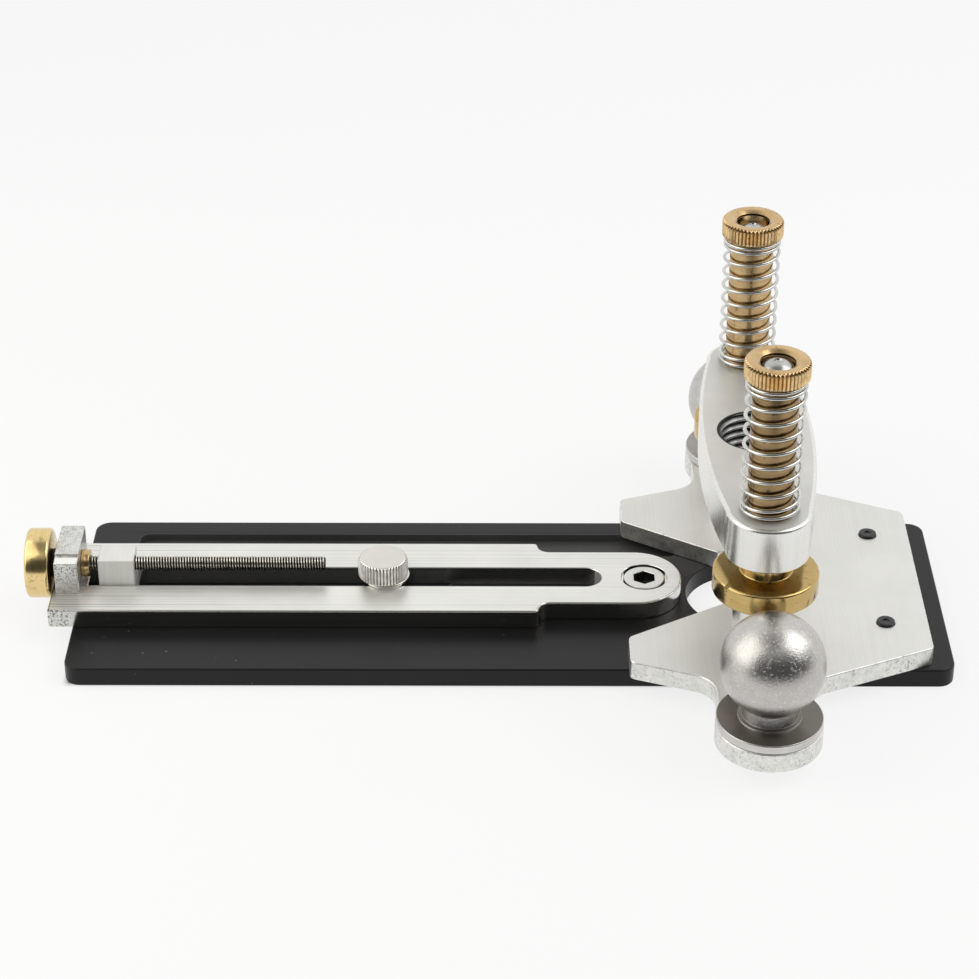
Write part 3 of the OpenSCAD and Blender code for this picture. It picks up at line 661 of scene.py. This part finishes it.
def thread_tree():
    """A helical thread along Z: a rod closed on its axis, or with Back above the radius a threaded
    ring."""
    t = Tree("cut_thread", Around="Int", Rows="Int", Length="Float", Radius="Float", Depth="Float",
             Pitch="Float", Back="Float", Chamfer="Float", Finish="Material")
    rows, length = t.get("Rows"), t.get("Length")
    ring_on = t.get("Back").math("GREATER_THAN", 0.0001)
    sheet, row, share = t.sheet(rows + 2.0 + ring_on, t.get("Around"))
    height = ((row - 1.0) / (rows - 1.0)).clamp() * length
    height = height * (1.0 - row.math("GREATER_THAN", rows + 1.5))
    wave = ((height / t.get("Pitch") - share).math("FRACT") * 2.0 - 1.0).math("ABSOLUTE")
    groove = (wave * 1.3 - 0.15).clamp() * t.get("Depth")
    bevel = (t.get("Chamfer") - height.math("MINIMUM", length - height)).math("MAXIMUM", 0.0)
    wall = t.get("Radius") - groove.math("MAXIMUM", bevel) * (1.0 - 2.0 * ring_on)
    inner = row.math("GREATER_THAN", 0.5) * (1.0 - row.math("GREATER_THAN", rows + 0.5))
    t.roll_up(sheet, wall * inner + t.get("Back") * (1.0 - inner), share, height)
    return t


def spring_tree():
    """One wound wire with close turns at both ends."""
    t = Tree("wound_spring", Steps="Int", Turns="Float", Close="Float", Radius="Float", Wire="Float",
             Rise="Float", Pitch="Float", Finish="Material")
    line = t.node("GeometryNodeMeshLine", {"Count": t.get("Steps")})
    turns, close = t.get("Turns"), t.get("Close")
    turn = t.node("GeometryNodeInputIndex") / (t.get("Steps") - 1.0) * turns
    open_turns = turns - 2.0 * close
    low = turn.math("MINIMUM", close) + (turn - turns + close).math("MAXIMUM", 0.0)
    middle = (turn - close).math("MAXIMUM", 0.0).math("MINIMUM", open_turns)
    lead = (t.get("Rise") - 2.0 * close * t.get("Pitch")) / open_turns
    place = t.round_axis(t.get("Radius"), turn, low * t.get("Pitch") + middle * lead)
    line = t.node("GeometryNodeSetPosition", {"Geometry": line, "Position": place})
    path = t.node("GeometryNodeMeshToCurve", {0: line})
    section = t.node("GeometryNodeCurvePrimitiveCircle",
                     {"Resolution": 10, "Radius": t.get("Wire") / 2.0})
    t.close(t.node("GeometryNodeCurveToMesh",
                   {"Curve": path, "Profile Curve": section, "Fill Caps": True}))
    return t


def set_tree():
    """Sets out one fastener at each of some points."""
    t = Tree("set_of_fasteners", Fastener="Object", Finish="Material")
    part = t.node("GeometryNodeObjectInfo", {"Object": t.get("Fastener")}, out="Geometry")
    t.close(t.node("GeometryNodeInstanceOnPoints", {"Points": t.get("Geometry"), "Instance": part}))
    return t


LATHE, THREAD, SPRING, SET_OUT = lathe_tree(), thread_tree(), spring_tree(), set_tree()
ORIGIN = [(0, 0, 0)]
ALONG_X = Matrix(((0, 0, 1, 0), (1, 0, 0, 0), (0, 1, 0, 0), (0, 0, 0, 1)))


def turned(profile, finish, at, along_x=False, around=96, ridges=0, depth=0.0):
    """A turned mesh from (radius, height) or (radius, height, bite) points in millimetres."""
    points = [(p[0] * MM, p[2] if len(p) > 2 else 0.0, p[1] * MM) for p in profile]
    mesh = LATHE.grow(points, Around=around, Ridges=ridges, Depth=depth * MM, Finish=finish)
    mesh.transform(Matrix.Translation(Vector(at) * MM) @ (ALONG_X if along_x else Matrix.Identity(4)))
    return mesh


def bar_profile(points, radii, closed=True):
    """A lathe profile with rounded corners; closed ones come back to their start."""
    path = rounded(points, radii, 3)
    return path + path[:1] if closed else path


def tube_profile(bore_r, r, length, radii):
    """A lathe profile of a plain tube; radii round its four corners, from the bore's bottom edge."""
    return bar_profile([(bore_r, 0), (r, 0), (r, length), (bore_r, length)], radii)


def set_out(name, profile, finish, x, y, body, node):
    """One turned fastener, set out at the front and the back."""
    pattern = bpy.data.objects.new("pattern", turned(profile, finish, (0, 0, 0), around=40))
    bpy.context.scene.collection.objects.link(pattern)
    places = [(x * MM, s * y * MM, 0) for s in (FRONT, BACK)]
    pair = SET_OUT.grow(places, Fastener=pattern, Finish=finish)
    bpy.data.objects.remove(pattern)
    new_piece(name, pair, body, [node])


# Sole plate, with the slot that the pivot nut runs in and a shallow groove

BIT_R, NUT_SCREW_X = 16, -161.15
SCREW_HEAD_R, SCREW_HEAD_H = 4.05, 2.4
PIVOT_SLOT = (-78.05, -18.55, 12.747)
GROOVE_SIDES = (-158.8, -17.3, 17.8, 28.3)


def sole_finish(face):
    """The upright walls of the slot get a lighter black than the plate: painted light."""
    x, y, _ = face.center / MM
    in_slot = abs(face.normal.z) < 0.5 and -78.2 < x < -18.4 and abs(y) < 6.5
    return 3 if in_slot else face.material_index


sole_walls = [
    (box_outline(SOLE_LEFT, SOLE_RIGHT, -SOLE_HALF, SOLE_HALF, 4.0), edge_profile(0, SOLE_Z, 0.4, 0.45)),
    (ring(0, 0, BIT_R, 72), straight(0, SOLE_Z)),
    (long_hole(*PIVOT_SLOT), straight(0, SOLE_Z)),
    (ring(LOCK_X, 0, 3.8), straight(0, SOLE_Z)),
]
sole_screws = [(NUT_SCREW_X, 0, 2.05)] + [(PLATE_SCREW_X, -s * PLATE_SCREW_Y, 2.3) for s in (FRONT, BACK)]
for x, y, r in sole_screws:
    sole_walls.append((ring(x, y, r), countersunk(r, SCREW_HEAD_R, SCREW_HEAD_H, 0, SOLE_Z)))
groove_profile = [(0, 3.0), (0, 4.8), (0.06, 4.94), (0.2, SOLE_Z)]
groove = (box_outline(*GROOVE_SIDES, 2.5), groove_profile)
sole = milled("sole_plate", sole_walls, [groove], [BLACK_SOLE, BLACK_SOLE, BLACK_GROOVE])
add_finishes(sole, [BLACK_SLOT_LIT], sole_finish)
milled_piece("sole_plate", sole, "base", "base_plate")

# Router plate with its notch and two ears

EAR_R, NECK, MOUTH_R = 12.8, 11.6, 14.0
PLATE_LEFT, LEFT_Y, LEFT_SLOPE = -31.8, 38.2, 0.36
PLATE_RIGHT, RIGHT_Y, RIGHT_SLOPE = 43.1, 32.0, 0.45
NOTCH_Y, NOTCH_SLOPE = 27.2, 0.62
right_edge = [(PLATE_RIGHT, RIGHT_Y), (NECK, RIGHT_Y + RIGHT_SLOPE * (PLATE_RIGHT - NECK))]
ear_angle = acos(NECK / EAR_R)
ear = arc(0, HANDLE_Y, EAR_R, -ear_angle, pi + ear_angle, 40)
left_edge = [(-NECK, LEFT_Y + LEFT_SLOPE * (-PLATE_LEFT - NECK)), (PLATE_LEFT, LEFT_Y), (PLATE_LEFT, NOTCH_Y)]
# Where the straight notch edge meets the round opening
notch_rise = NOTCH_SLOPE * (NOTCH_Y / NOTCH_SLOPE + PLATE_LEFT)
steepness = 1 + NOTCH_SLOPE ** 2
cross_x = (NOTCH_SLOPE * notch_rise - sqrt(steepness * MOUTH_R ** 2 - notch_rise ** 2)) / steepness
mouth_angle = acos(cross_x / MOUTH_R)
mouth = arc(0, 0, MOUTH_R, -mouth_angle, mouth_angle, 48)
back_edge = right_edge + ear + left_edge
back_radii = [2.0, 7.0] + [0] * len(ear) + [7.0, 2.0, 2.0]
front_edge = [(x, -y) for x, y in back_edge[::-1]]
plate_radii = back_radii + [0] * len(mouth) + back_radii[::-1]
plate_outline = rounded(back_edge + mouth[::-1] + front_edge, plate_radii)
plate_walls = [(plate_outline, edge_profile(SOLE_Z, PLATE_Z, 0.2, 0.35))]
for s in (FRONT, BACK):
    plate_walls += [
        (ring(PLATE_SCREW_X, s * PLATE_SCREW_Y, 2.3), straight(SOLE_Z, PLATE_Z)),
        (ring(0, s * COLUMN_Y, 4.0), [(0, SOLE_Z), (0, PLATE_Z)]),
        (ring(0, s * HANDLE_Y, 3.05), countersunk(3.05, 5.55, 3, SOLE_Z, PLATE_Z)),
    ]
plate = milled("router_plate_milled", plate_walls, [], [PLATE_TOP, PLATE_EDGE])
milled_piece("router_plate_milled", plate, "base", "router_plate")

# Slide arm, with its slot and the counterbore of the pivot

ARM_LEFT, ARM_HALF, SHOULDER_X = -177.3, 16, -53.9
TONGUE_X, TONGUE_HALF = -29.3, 12.0
ARM_SLOT = (-168.4, -37.7, 8.5)


def arm_finish(face):
    """The round end of the slot gets a brighter, partly diffuse copy of the edge finish: painted light."""
    x, y, _ = face.center / MM
    at_end = -42.0 < x < -37.0 and abs(y) < 4.4 and face.normal.x < -0.6
    return 2 if at_end else face.material_index


tongue = arc(TONGUE_X, 0, TONGUE_HALF, -pi / 2, pi / 2, 36)
arm_front = [(ARM_LEFT, -ARM_HALF), (SHOULDER_X, -ARM_HALF), (SHOULDER_X, -TONGUE_HALF)]
arm_back = [(x, -y) for x, y in arm_front[::-1]]
arm_radii = [0.4, 1.0, 3.0] + [0] * len(tongue) + [3.0, 1.0, 0.4]
counterbore = [(-2.85, SOLE_Z), (-2.85, 6.8), (0, 6.8), (0, 9.9), (0.1, PLATE_Z)]
arm_walls = [
    (rounded(arm_front + tongue + arm_back, arm_radii), edge_profile(SOLE_Z, PLATE_Z, 0.25, 0.45)),
    (long_hole(*ARM_SLOT, True), edge_profile(SOLE_Z, PLATE_Z, 0.2, 0.35)),
    (ring(PIVOT_X, 0, 5.9, 64), counterbore),
]
for s in (FRONT, BACK):
    screw_hole = ring(BRACKET_SCREW_X, s * BRACKET_SCREW_Y, 1.55, 24)
    arm_walls.append((screw_hole, countersunk(1.55, 2.85, 1.7, SOLE_Z, PLATE_Z)))
arm = milled("arm_bar", arm_walls, [], [ARM_TOP, ARM_EDGE])
add_finishes(arm, [SLOT_END_LIT], arm_finish)
milled_piece("arm_bar", arm, "arm", "slide_arm")

# Bracket and nut block, drawn across the arm and pushed along it

def across(x):
    """From a drawing in Y and Z to its place along X."""
    return Matrix.Translation((x * MM, 0, 0)) @ ALONG_X


def bracket_finish(face):
    """The ledge along the front of the top gets a brighter finish: painted highlight."""
    return int(face.normal.z > 0.3 and abs(face.normal.x) < 0.1 and face.center.y < -5.6 * MM)


BRACKET_X, BRACKET_L = -176.1, 6.0
NUT_X, NUT_L = -165.7, 9.1
screw_bore = ring(0, SCREW_Z, 2.03, 32)
bracket_corners = [(-8.4, 10), (8.4, 10), (8.4, 20), (-5.3, 20), (-5.4, 19.25), (-8.4, 18.9)]
bracket_outline = rounded(bracket_corners, [0.2, 0.2, 0.3, 0.3, 0.12, 0.3], 3)
bracket_walls = [(bracket_outline, edge_profile(0, BRACKET_L, 0.25, 0.25, 3)),
                 (screw_bore, straight(0, BRACKET_L))]
bracket = milled("arm_bracket", bracket_walls, [], [BRACKET_METAL], across(BRACKET_X))
add_finishes(bracket, [BRACKET_LEDGE_HIGHLIGHT], bracket_finish)
milled_piece("arm_bracket", bracket, "arm", "end_bracket", 50)
nut_walls = [(box_outline(-3.95, 3.95, 5, 17, 0.35, 3), edge_profile(0, NUT_L, 0.3, 0.3, 3)),
             (screw_bore, straight(0, NUT_L))]
nut = milled("nut_block_milled", nut_walls, [], [NUT_METAL], across(NUT_X))
milled_piece("nut_block_milled", nut, "base", "nut_block", 50)

# Pivot bush with its hexagon socket

def hexagon(across_flats, n=6):
    """Points along the six sides of a hexagon round the pivot, with a corner towards the back."""
    r = across_flats / sqrt(3)
    corners = [Vector((PIVOT_X + r * sin(-pi / 3 * k), r * cos(-pi / 3 * k))) for k in range(7)]
    return [tuple(a.lerp(b, k / n)) for a, b in zip(corners, corners[1:]) for k in range(n)]


def bush_finish(face):
    """The socket and the bore are darkened: painted shade."""
    from_axis = (face.center.xy - Vector((PIVOT_X * MM, 0))).length
    return int(from_axis < 3.0 * MM and face.center.z < 9.82 * MM)


bore, socket = ring(PIVOT_X, 0, 2.0, 36), hexagon(5.3)
bush_side = [(2.3, 0.6), (2.3, 6.8), (0, 6.8), (0, 9.5), (0.1, 9.75), (0.4, 9.9)]
bush_inside = [(bore, 0.6), (bore, 6.9), (socket, 6.9), (socket, 9.8), (hexagon(5.5), 9.9)]
bush_walls = [(ring(PIVOT_X, 0, 5.3, 64), bush_side), (bush_inside, None)]
bush = milled("pivot_bush_head", bush_walls, [], [PIVOT_STEEL])
add_finishes(bush, [SOCKET_SHADE], bush_finish)
milled_piece("pivot_bush_head", bush, "arm", "pivot_bush")

# Lead screw with its knob, washer and collar

LEAD_X, LEAD_L, LEAD_PITCH, ROWS_A_TURN = -182.7, 74.6, 0.7, 8
KNOB_X, KNOB_R, KNOB_L = -183.7, 8.9, 6.1
WASHER_X, COLLAR_X = -177.6, -170.05
lead = THREAD.grow(ORIGIN, Around=24, Rows=int(LEAD_L / LEAD_PITCH * ROWS_A_TURN), Length=LEAD_L * MM,
                   Radius=1.95 * MM, Depth=0.42 * MM, Pitch=LEAD_PITCH * MM, Back=0.0, Chamfer=0.6 * MM,
                   Finish=LEAD_STEEL)
lead.transform(Matrix.Translation((LEAD_X * MM, 0, SCREW_Z * MM)) @ ALONG_X)
new_piece("lead_screw_thread", lead, "adjuster", ["lead_screw"])
knob_corners = [(0, 0), (KNOB_R, 0), (KNOB_R, KNOB_L), (2.0, KNOB_L), (2.0, 1.0), (0, 1.0)]
knob_profile = bar_profile(knob_corners, [0, 0.8, 0.8, 0.1, 0, 0], closed=False)
knob_mesh = turned(knob_profile, KNOB_BRASS, (KNOB_X, 0, SCREW_Z), along_x=True, around=128)
knob = new_piece("adjusting_knob", knob_mesh, "adjuster", ["adjust_knob"])
drill_hole(knob, (KNOB_X + KNOB_L / 2, 0, SCREW_Z), 1.55, 12.0)
washer_profile = tube_profile(2.0, 3.7, 1.45, [0, 0.3, 0.3, 0])
# Painted shade: the black washer darkens the gap between the knob and the bracket
washer = turned(washer_profile, WASHER_SHADE_BLACK, (WASHER_X, 0, SCREW_Z), along_x=True)
new_piece("knob_black_washer", washer, "adjuster", ["knob_washer"])
collar_profile = tube_profile(2.0, 3.5, 2.05, [0, 0.3, 0.3, 0])
collar = turned(collar_profile, COLLAR_BRASS, (COLLAR_X, 0, SCREW_Z), along_x=True)
new_piece("brass_collar", collar, "adjuster", ["thrust_collar"])

# Knurled lock screw and its washer, which lies a little to the right on a loose bore

HEAD_Z, WASHER_Z, WASHER_DRIFT = 11, 10.02, 0.65
lock_shank = [(0, -10.4), (2.1, -10.4), (2.45, -10.0), (2.45, 0)]
lock_head = [(6.2, 0, 0.4), (6.35, 0.15, 1), (6.35, 0.8, 1), (6.35, 2.2, 1), (6.35, 3.6, 1), (6.3, 4.3, 1),
             (6.1, 4.65, 0.6), (5.7, 4.9, 0.1), (5.3, 5.0, 0), (4.6, 4.98, 0), (0, 5.0)]
lock = turned(lock_shank + lock_head, NICKEL, (LOCK_X, 0, HEAD_Z), around=264, ridges=44, depth=0.5)
add_finishes(lock, [LOCK_KNURL], lambda face: int(abs(face.normal.z) < 0.5))
new_piece("lock_screw_knurled", lock, "lock", ["lock_screw"])
lock_ring_profile = tube_profile(3.2, 6.1, 0.95, [0.1, 0.25, 0.25, 0.1])
lock_ring = turned(lock_ring_profile, NICKEL, (LOCK_X + WASHER_DRIFT, 0, WASHER_Z))
new_piece("lock_screw_washer", lock_ring, "lock_washer_body", ["lock_washer"])

# Columns: pedestal, stud, wheel with sleeve, cap, and the ball handle beside each

WHEEL_Z, SLEEVE_Z, CAP_Z, SPRING_Z = 30.8, 41.35, 88.7, 53.6
STUD_LENGTH = {"front": 88.1, "back": 86.7}
STUD_R, DOME_H = 3.95, 1.8
FLANGE_R, NECK_R, BALL_R, BALL_Z = 12.7, 6.7, 12.5, 16.9
SPRING_TURNS, STEPS_A_TURN = 11, 28
wheel_corners = [(4.05, 0), (12.75, 0), (12.75, 5.7), (6.15, 5.7), (6.15, 10.5), (5.5, 10.5), (5.5, 61.3),
                 (4.05, 61.3)]
wheel_profile = bar_profile(wheel_corners, [0, 0.6, 0.6, 0.5, 0.2, 0.1, 0.2, 0])
pedestal_profile = tube_profile(4.0, 7.5, 20.5, [0, 0.15, 0.6, 0.2])
dome_r = (STUD_R ** 2 + DOME_H ** 2) / (2 * DOME_H)
dome_angle = acos((dome_r - DOME_H) / dome_r)
dome = [(dome_r * sin(a), dome_r * (cos(a) - 1)) for a in (dome_angle * (1 - k / 10) for k in range(8))]
dome += [(1.0, -0.11), (0.8, -0.45), (0, -0.7)]
cap_profile = [
    (5.56, 0, 0), (7.2, 0, 0), (7.5, 0.12, 0.6), (7.75, 0.35, 1), (7.75, 1.5, 1), (7.75, 2.6, 1),
    (7.75, 3.5, 1), (7.72, 3.85, 1), (7.6, 4.15, 0.9), (7.35, 4.42, 0.55), (7.0, 4.57, 0.1), (6.8, 4.6, 0),
    (5.4, 4.6, 0), (5.25, 4.55, 0), (4.2, 3.92, 0), (4.45, 3.8, 0), (4.15, 3.68, 0), (4.4, 3.56, 0),
    (4.1, 3.46, 0), (4.05, 3.4, 0), (5.56, 3.4, 0), (5.56, 0, 0),
]
ball_low = 0.06 - acos(NECK_R / BALL_R)
ball_arc = arc(0, BALL_Z, BALL_R, ball_low, pi / 2, 44)[:-1]
foot_corners = [(0, 0), (FLANGE_R, 0), (FLANGE_R, 2.4), (7.6, 2.4), (7.6, 2.75), (NECK_R, 2.95),
                (NECK_R, 6.1)]
foot = rounded(foot_corners, [0, 0.4, 0.35, 0.05, 0.12, 0.1, 0], 3)
handle_profile = foot + [(NECK_R + 0.2, 6.25)] + ball_arc + [(0, BALL_Z + BALL_R)]


def cap_finish(face):
    """0 on the turned top, 1 down in the hole, darkened as painted shade, and 2 on the knurl."""
    x, y, z = face.center / MM
    from_axis = sqrt(x * x + (abs(y) - COLUMN_Y) ** 2)
    if from_axis < 4.5 and z < 92.6:
        return 1
    return 2 if from_axis > 7.0 and z < 92.35 else 0


def handle_finish(face):
    """0 on the ball and neck, 1 on the top of the flange, darkened as painted shade, and 2 on its rim."""
    if face.normal.z > 0.9 and face.center.z < 13 * MM:
        return 1
    return 2 if face.normal.z < 0.5 and face.center.z < 12.3 * MM else 0


for side, s in SIDES:
    y = s * COLUMN_Y
    pedestal = turned(pedestal_profile, PEDESTAL_METAL, (0, y, PLATE_Z))
    new_piece(f"{side}_pedestal_turned", pedestal, "base", [f"{side}_pedestal"])
    stud_profile = [(0, 0), (3.6, 0), (STUD_R, 0.35)] + [(r, STUD_LENGTH[side] + z) for r, z in dome]
    stud = turned(stud_profile, STUD_STEEL, (0, y, SOLE_Z), around=64)
    new_piece(f"{side}_stud_domed", stud, "base", [f"{side}_stud"])
    wheel = turned(wheel_profile, WHEEL_BRASS, (0, y, WHEEL_Z), around=128)
    add_finishes(wheel, [SLEEVE_BRASS[side]], lambda face: int(face.center.z > SLEEVE_Z * MM))
    new_piece(f"{side}_wheel_sleeve", wheel, f"{side}_column", [f"{side}_sleeve"])
    cap = turned(cap_profile, CAP_BRASS, (0, y, CAP_Z), around=288, ridges=48, depth=0.52)
    add_finishes(cap, [CAP_HOLE_SHADE, CAP_KNURL[side]], cap_finish)
    new_piece(f"{side}_cap_knurled", cap, f"{side}_column", [f"{side}_cap"])
    handle = turned(handle_profile, BALL_STEEL, (0, s * HANDLE_Y, PLATE_Z))
    add_finishes(handle, [FLANGE_TOP_SHADE[side], FLANGE_RIM], handle_finish)
    new_piece(f"{side}_ball_handle", handle, "base", [f"{side}_handle"])
    coil = SPRING.grow(ORIGIN, Steps=SPRING_TURNS * STEPS_A_TURN + 1, Turns=float(SPRING_TURNS), Close=1.5,
                       Radius=6.85 * MM, Wire=0.9 * MM, Rise=34.6 * MM, Pitch=1.3 * MM, Finish=WIRE_STEEL)
    coil.transform(Matrix.Translation((0, y * MM, SPRING_Z * MM)))
    spring = new_piece(f"{side}_spring_wire", coil, "springs", [f"{side}_spring"], 60)
    y * MM
    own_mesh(spring)

# Carriage between the columns, with the cut tool thread

def carriage_outline():
    """Two shallow arcs that run into round bosses, counter-clockwise."""
    half, boss, steps = 14.0, 10.2, 56
    bow = half - boss
    arc_r = (COLUMN_Y ** 2 + bow ** 2) / (2 * bow)
    lean = acos((arc_r - bow) / arc_r)
    flank = arc(half - arc_r, 0, arc_r, -lean, lean, steps)[1:-1]
    half_loop = flank + arc(0, COLUMN_Y, boss, 0, pi, 32)
    return half_loop + [(-x, -y) for x, y in half_loop]


carriage_walls = [
    (carriage_outline(), edge_profile(CARRIAGE_LOW, CARRIAGE_HIGH, 0.5, 0.9, 6)),
    (ring(0, 0, TOOL_RING_R, 72), [(0, CARRIAGE_LOW), (0, CARRIAGE_HIGH)]),
]
column_hole = edge_profile(CARRIAGE_LOW, CARRIAGE_HIGH, 0.2, 0.3, 2)
carriage_walls += [(ring(0, s * COLUMN_Y, 5.58), column_hole) for s in (FRONT, BACK)]
carriage = milled("carriage_body_milled", carriage_walls, [], [CARRIAGE_METAL, CARRIAGE_SIDE])
milled_piece("carriage_body_milled", carriage, "carriage_body", "carriage", 50)
tool_thread = THREAD.grow(ORIGIN, Around=96, Rows=68, Length=(CARRIAGE_HIGH - CARRIAGE_LOW) * MM,
                          Radius=8.65 * MM, Depth=0.9 * MM, Pitch=2.1 * MM, Back=TOOL_RING_R * MM,
                          Chamfer=0.7 * MM, Finish=THREAD_METAL)
tool_thread.transform(Matrix.Translation((0, 0, CARRIAGE_LOW * MM)))
new_piece("carriage_tool_thread", tool_thread, "carriage_body", [], 50)

# Black plate screws, their tips just proud of the plate

tip_corners = [(0, 0), (4.0, 0), (2.25, 2.4), (2.25, 10.6), (0.9, 10.6), (0.75, 10.3), (0, 10.3)]
plate_screw = bar_profile(tip_corners, [0, 0.1, 0.1, 0.18, 0.1, 0, 0], closed=False)
set_out("plate_screw_pair", plate_screw, BLACK_OXIDE, PLATE_SCREW_X, PLATE_SCREW_Y,
        "base", "plate_screws")

# Bracket screws, sunk a little below the arm's sliding face

bracket_screw = bar_profile([(0, 5.15), (2.7, 5.15), (1.45, 6.65), (1.45, 14.6), (0, 14.6)],
                            [0, 0.1, 0.1, 0.2, 0], closed=False)
set_out("bracket_screw_pair", bracket_screw, SCREW_STEEL, BRACKET_SCREW_X, BRACKET_SCREW_Y,
        "arm", "bracket_screws")

# CAD pieces that stay as they are get their finish

cad_finishes = {"handle_screws": SCREW_STEEL, "nut_block_screw": SCREW_STEEL, "lock_insert": WHEEL_BRASS,
                "pivot_nut": PIVOT_STEEL, "knob_set_screw": BLACK_OXIDE}
for node, finish in cad_finishes.items():
    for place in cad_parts[node].material_slots:
        place.material = finish


# Floor, light and camera

def rays(w):
    """1 where a ray comes from the camera, from a mirror, or through glass."""
    kinds = ("Camera", "Glossy", "Transmission")
    return [w.node("ShaderNodeLightPath", out=f"Is {kind} Ray") for kind in kinds]


def floor():
    """A pale floor that looks like the backdrop and keeps the shadow of the jig."""
    near, far = -0.35, 6
    mesh = bpy.data.meshes.new("floor")
    mesh.from_pydata([(-far, near, 0), (far, near, 0), (far, far, 0), (-far, far, 0)], [], [(0, 1, 2, 3)])
    piece = bpy.data.objects.new("floor", mesh)
    bpy.context.scene.collection.objects.link(piece)
    white = bpy.data.materials.new("floor_white")
    white.use_nodes = True
    white.node_tree.nodes.clear()
    w = Wire(white.node_tree)
    seen, mirror, clear = rays(w)
    # Hardly any light gets under the sole plate
    x, y, _ = w.node("ShaderNodeTexCoord", out="Object").axes()
    under_length = x.step(-0.172, -0.170) * (1 - x.step(-0.020, -0.014))
    covered = under_length * (1 - y.math("ABSOLUTE").step(0.033, 0.035))
    lit = w.node("ShaderNodeBsdfDiffuse", {"Color": covered.mix(grey(0.85), grey(0.12))})
    glow = w.node("ShaderNodeEmission", {"Color": grey(0.985), "Strength": 1.0})
    share = (seen + mirror + clear).clamp() * (1 - covered) * 0.80
    w.node("ShaderNodeOutputMaterial", {0: w.node("ShaderNodeMixShader", {0: share, 1: lit, 2: glow})})
    mesh.materials.append(white)


def room():
    """White backdrop for what sees it, and a soft dimmer light for the rest."""
    world = bpy.data.worlds.new("studio")
    bpy.context.scene.world = world
    world.use_nodes = True
    world.node_tree.nodes.clear()
    w = Wire(world.node_tree)
    seen, mirror, clear = rays(w)
    sees = seen + clear
    across_x, depth, height = w.node("ShaderNodeTexCoord", out="Generated").axes()
    overhead = height.step(0.74, 0.96) * (1 - depth.step(0.12, 0.42))
    ceiling = overhead.mix(grey(1.0), grey(0.30))
    shade = (0.3 * across_x - depth).step(0.0, 0.5) * (1 - height.step(0.62, 0.98))
    ceiling = shade.mix(ceiling, grey(0.06))
    backdrop = sees.clamp().mix(ceiling, grey(0.956))
    bright = w.node("ShaderNodeBackground", {0: backdrop, 1: 1.0})
    soft = w.node("ShaderNodeBackground", {0: grey(1.0), 1: 0.65})
    both = w.node("ShaderNodeMixShader", {0: (sees + mirror).clamp(), 1: soft, 2: bright})
    w.node("ShaderNodeOutputWorld", {0: both})


def softbox(name, at, size, watts, colour):
    """A rectangular lamp that faces the middle of the jig."""
    lamp = bpy.data.lights.new(name, "AREA")
    lamp.shape = "RECTANGLE"
    lamp.size, lamp.size_y = size
    lamp.energy = watts
    lamp.color = colour
    piece = bpy.data.objects.new(name, lamp)
    piece.location = at
    piece.visible_camera = False
    middle = Vector((-0.06, 0.0, 0.03))
    piece.rotation_euler = (middle - Vector(at)).to_track_quat("-Z", "Y").to_euler()
    bpy.context.scene.collection.objects.link(piece)


def photo_camera():
    """A camera at the photograph's place and angle."""
    data = bpy.data.cameras.new("photo_camera")
    data.sensor_width = 36.0
    data.lens = 101.457
    data.shift_x = -0.00816
    data.shift_y = -0.0006
    data.clip_start, data.clip_end = 0.01, 50
    piece = bpy.data.objects.new("photo_camera", data)
    piece.location = (-0.06228, -0.5930, 0.39247)
    pitch, yaw = radians(31.0), radians(-0.195)
    look = Vector((sin(yaw) * cos(pitch), cos(yaw) * cos(pitch), -sin(pitch)))
    piece.rotation_euler = look.to_track_quat("-Z", "Y").to_euler()
    bpy.context.scene.collection.objects.link(piece)
    bpy.context.scene.camera = piece


floor()
room()
softbox("softbox_left", (-0.389, -0.084, 0.295), (0.47, 0.43), 0.74, (1.0, 0.96, 0.89))
softbox("softbox_right", (0.615, -0.045, 0.753), (0.74, 0.70), 3.2, (1.0, 1.0, 1.0))
photo_camera()
bpy.context.scene.view_settings.view_transform = "Standard"
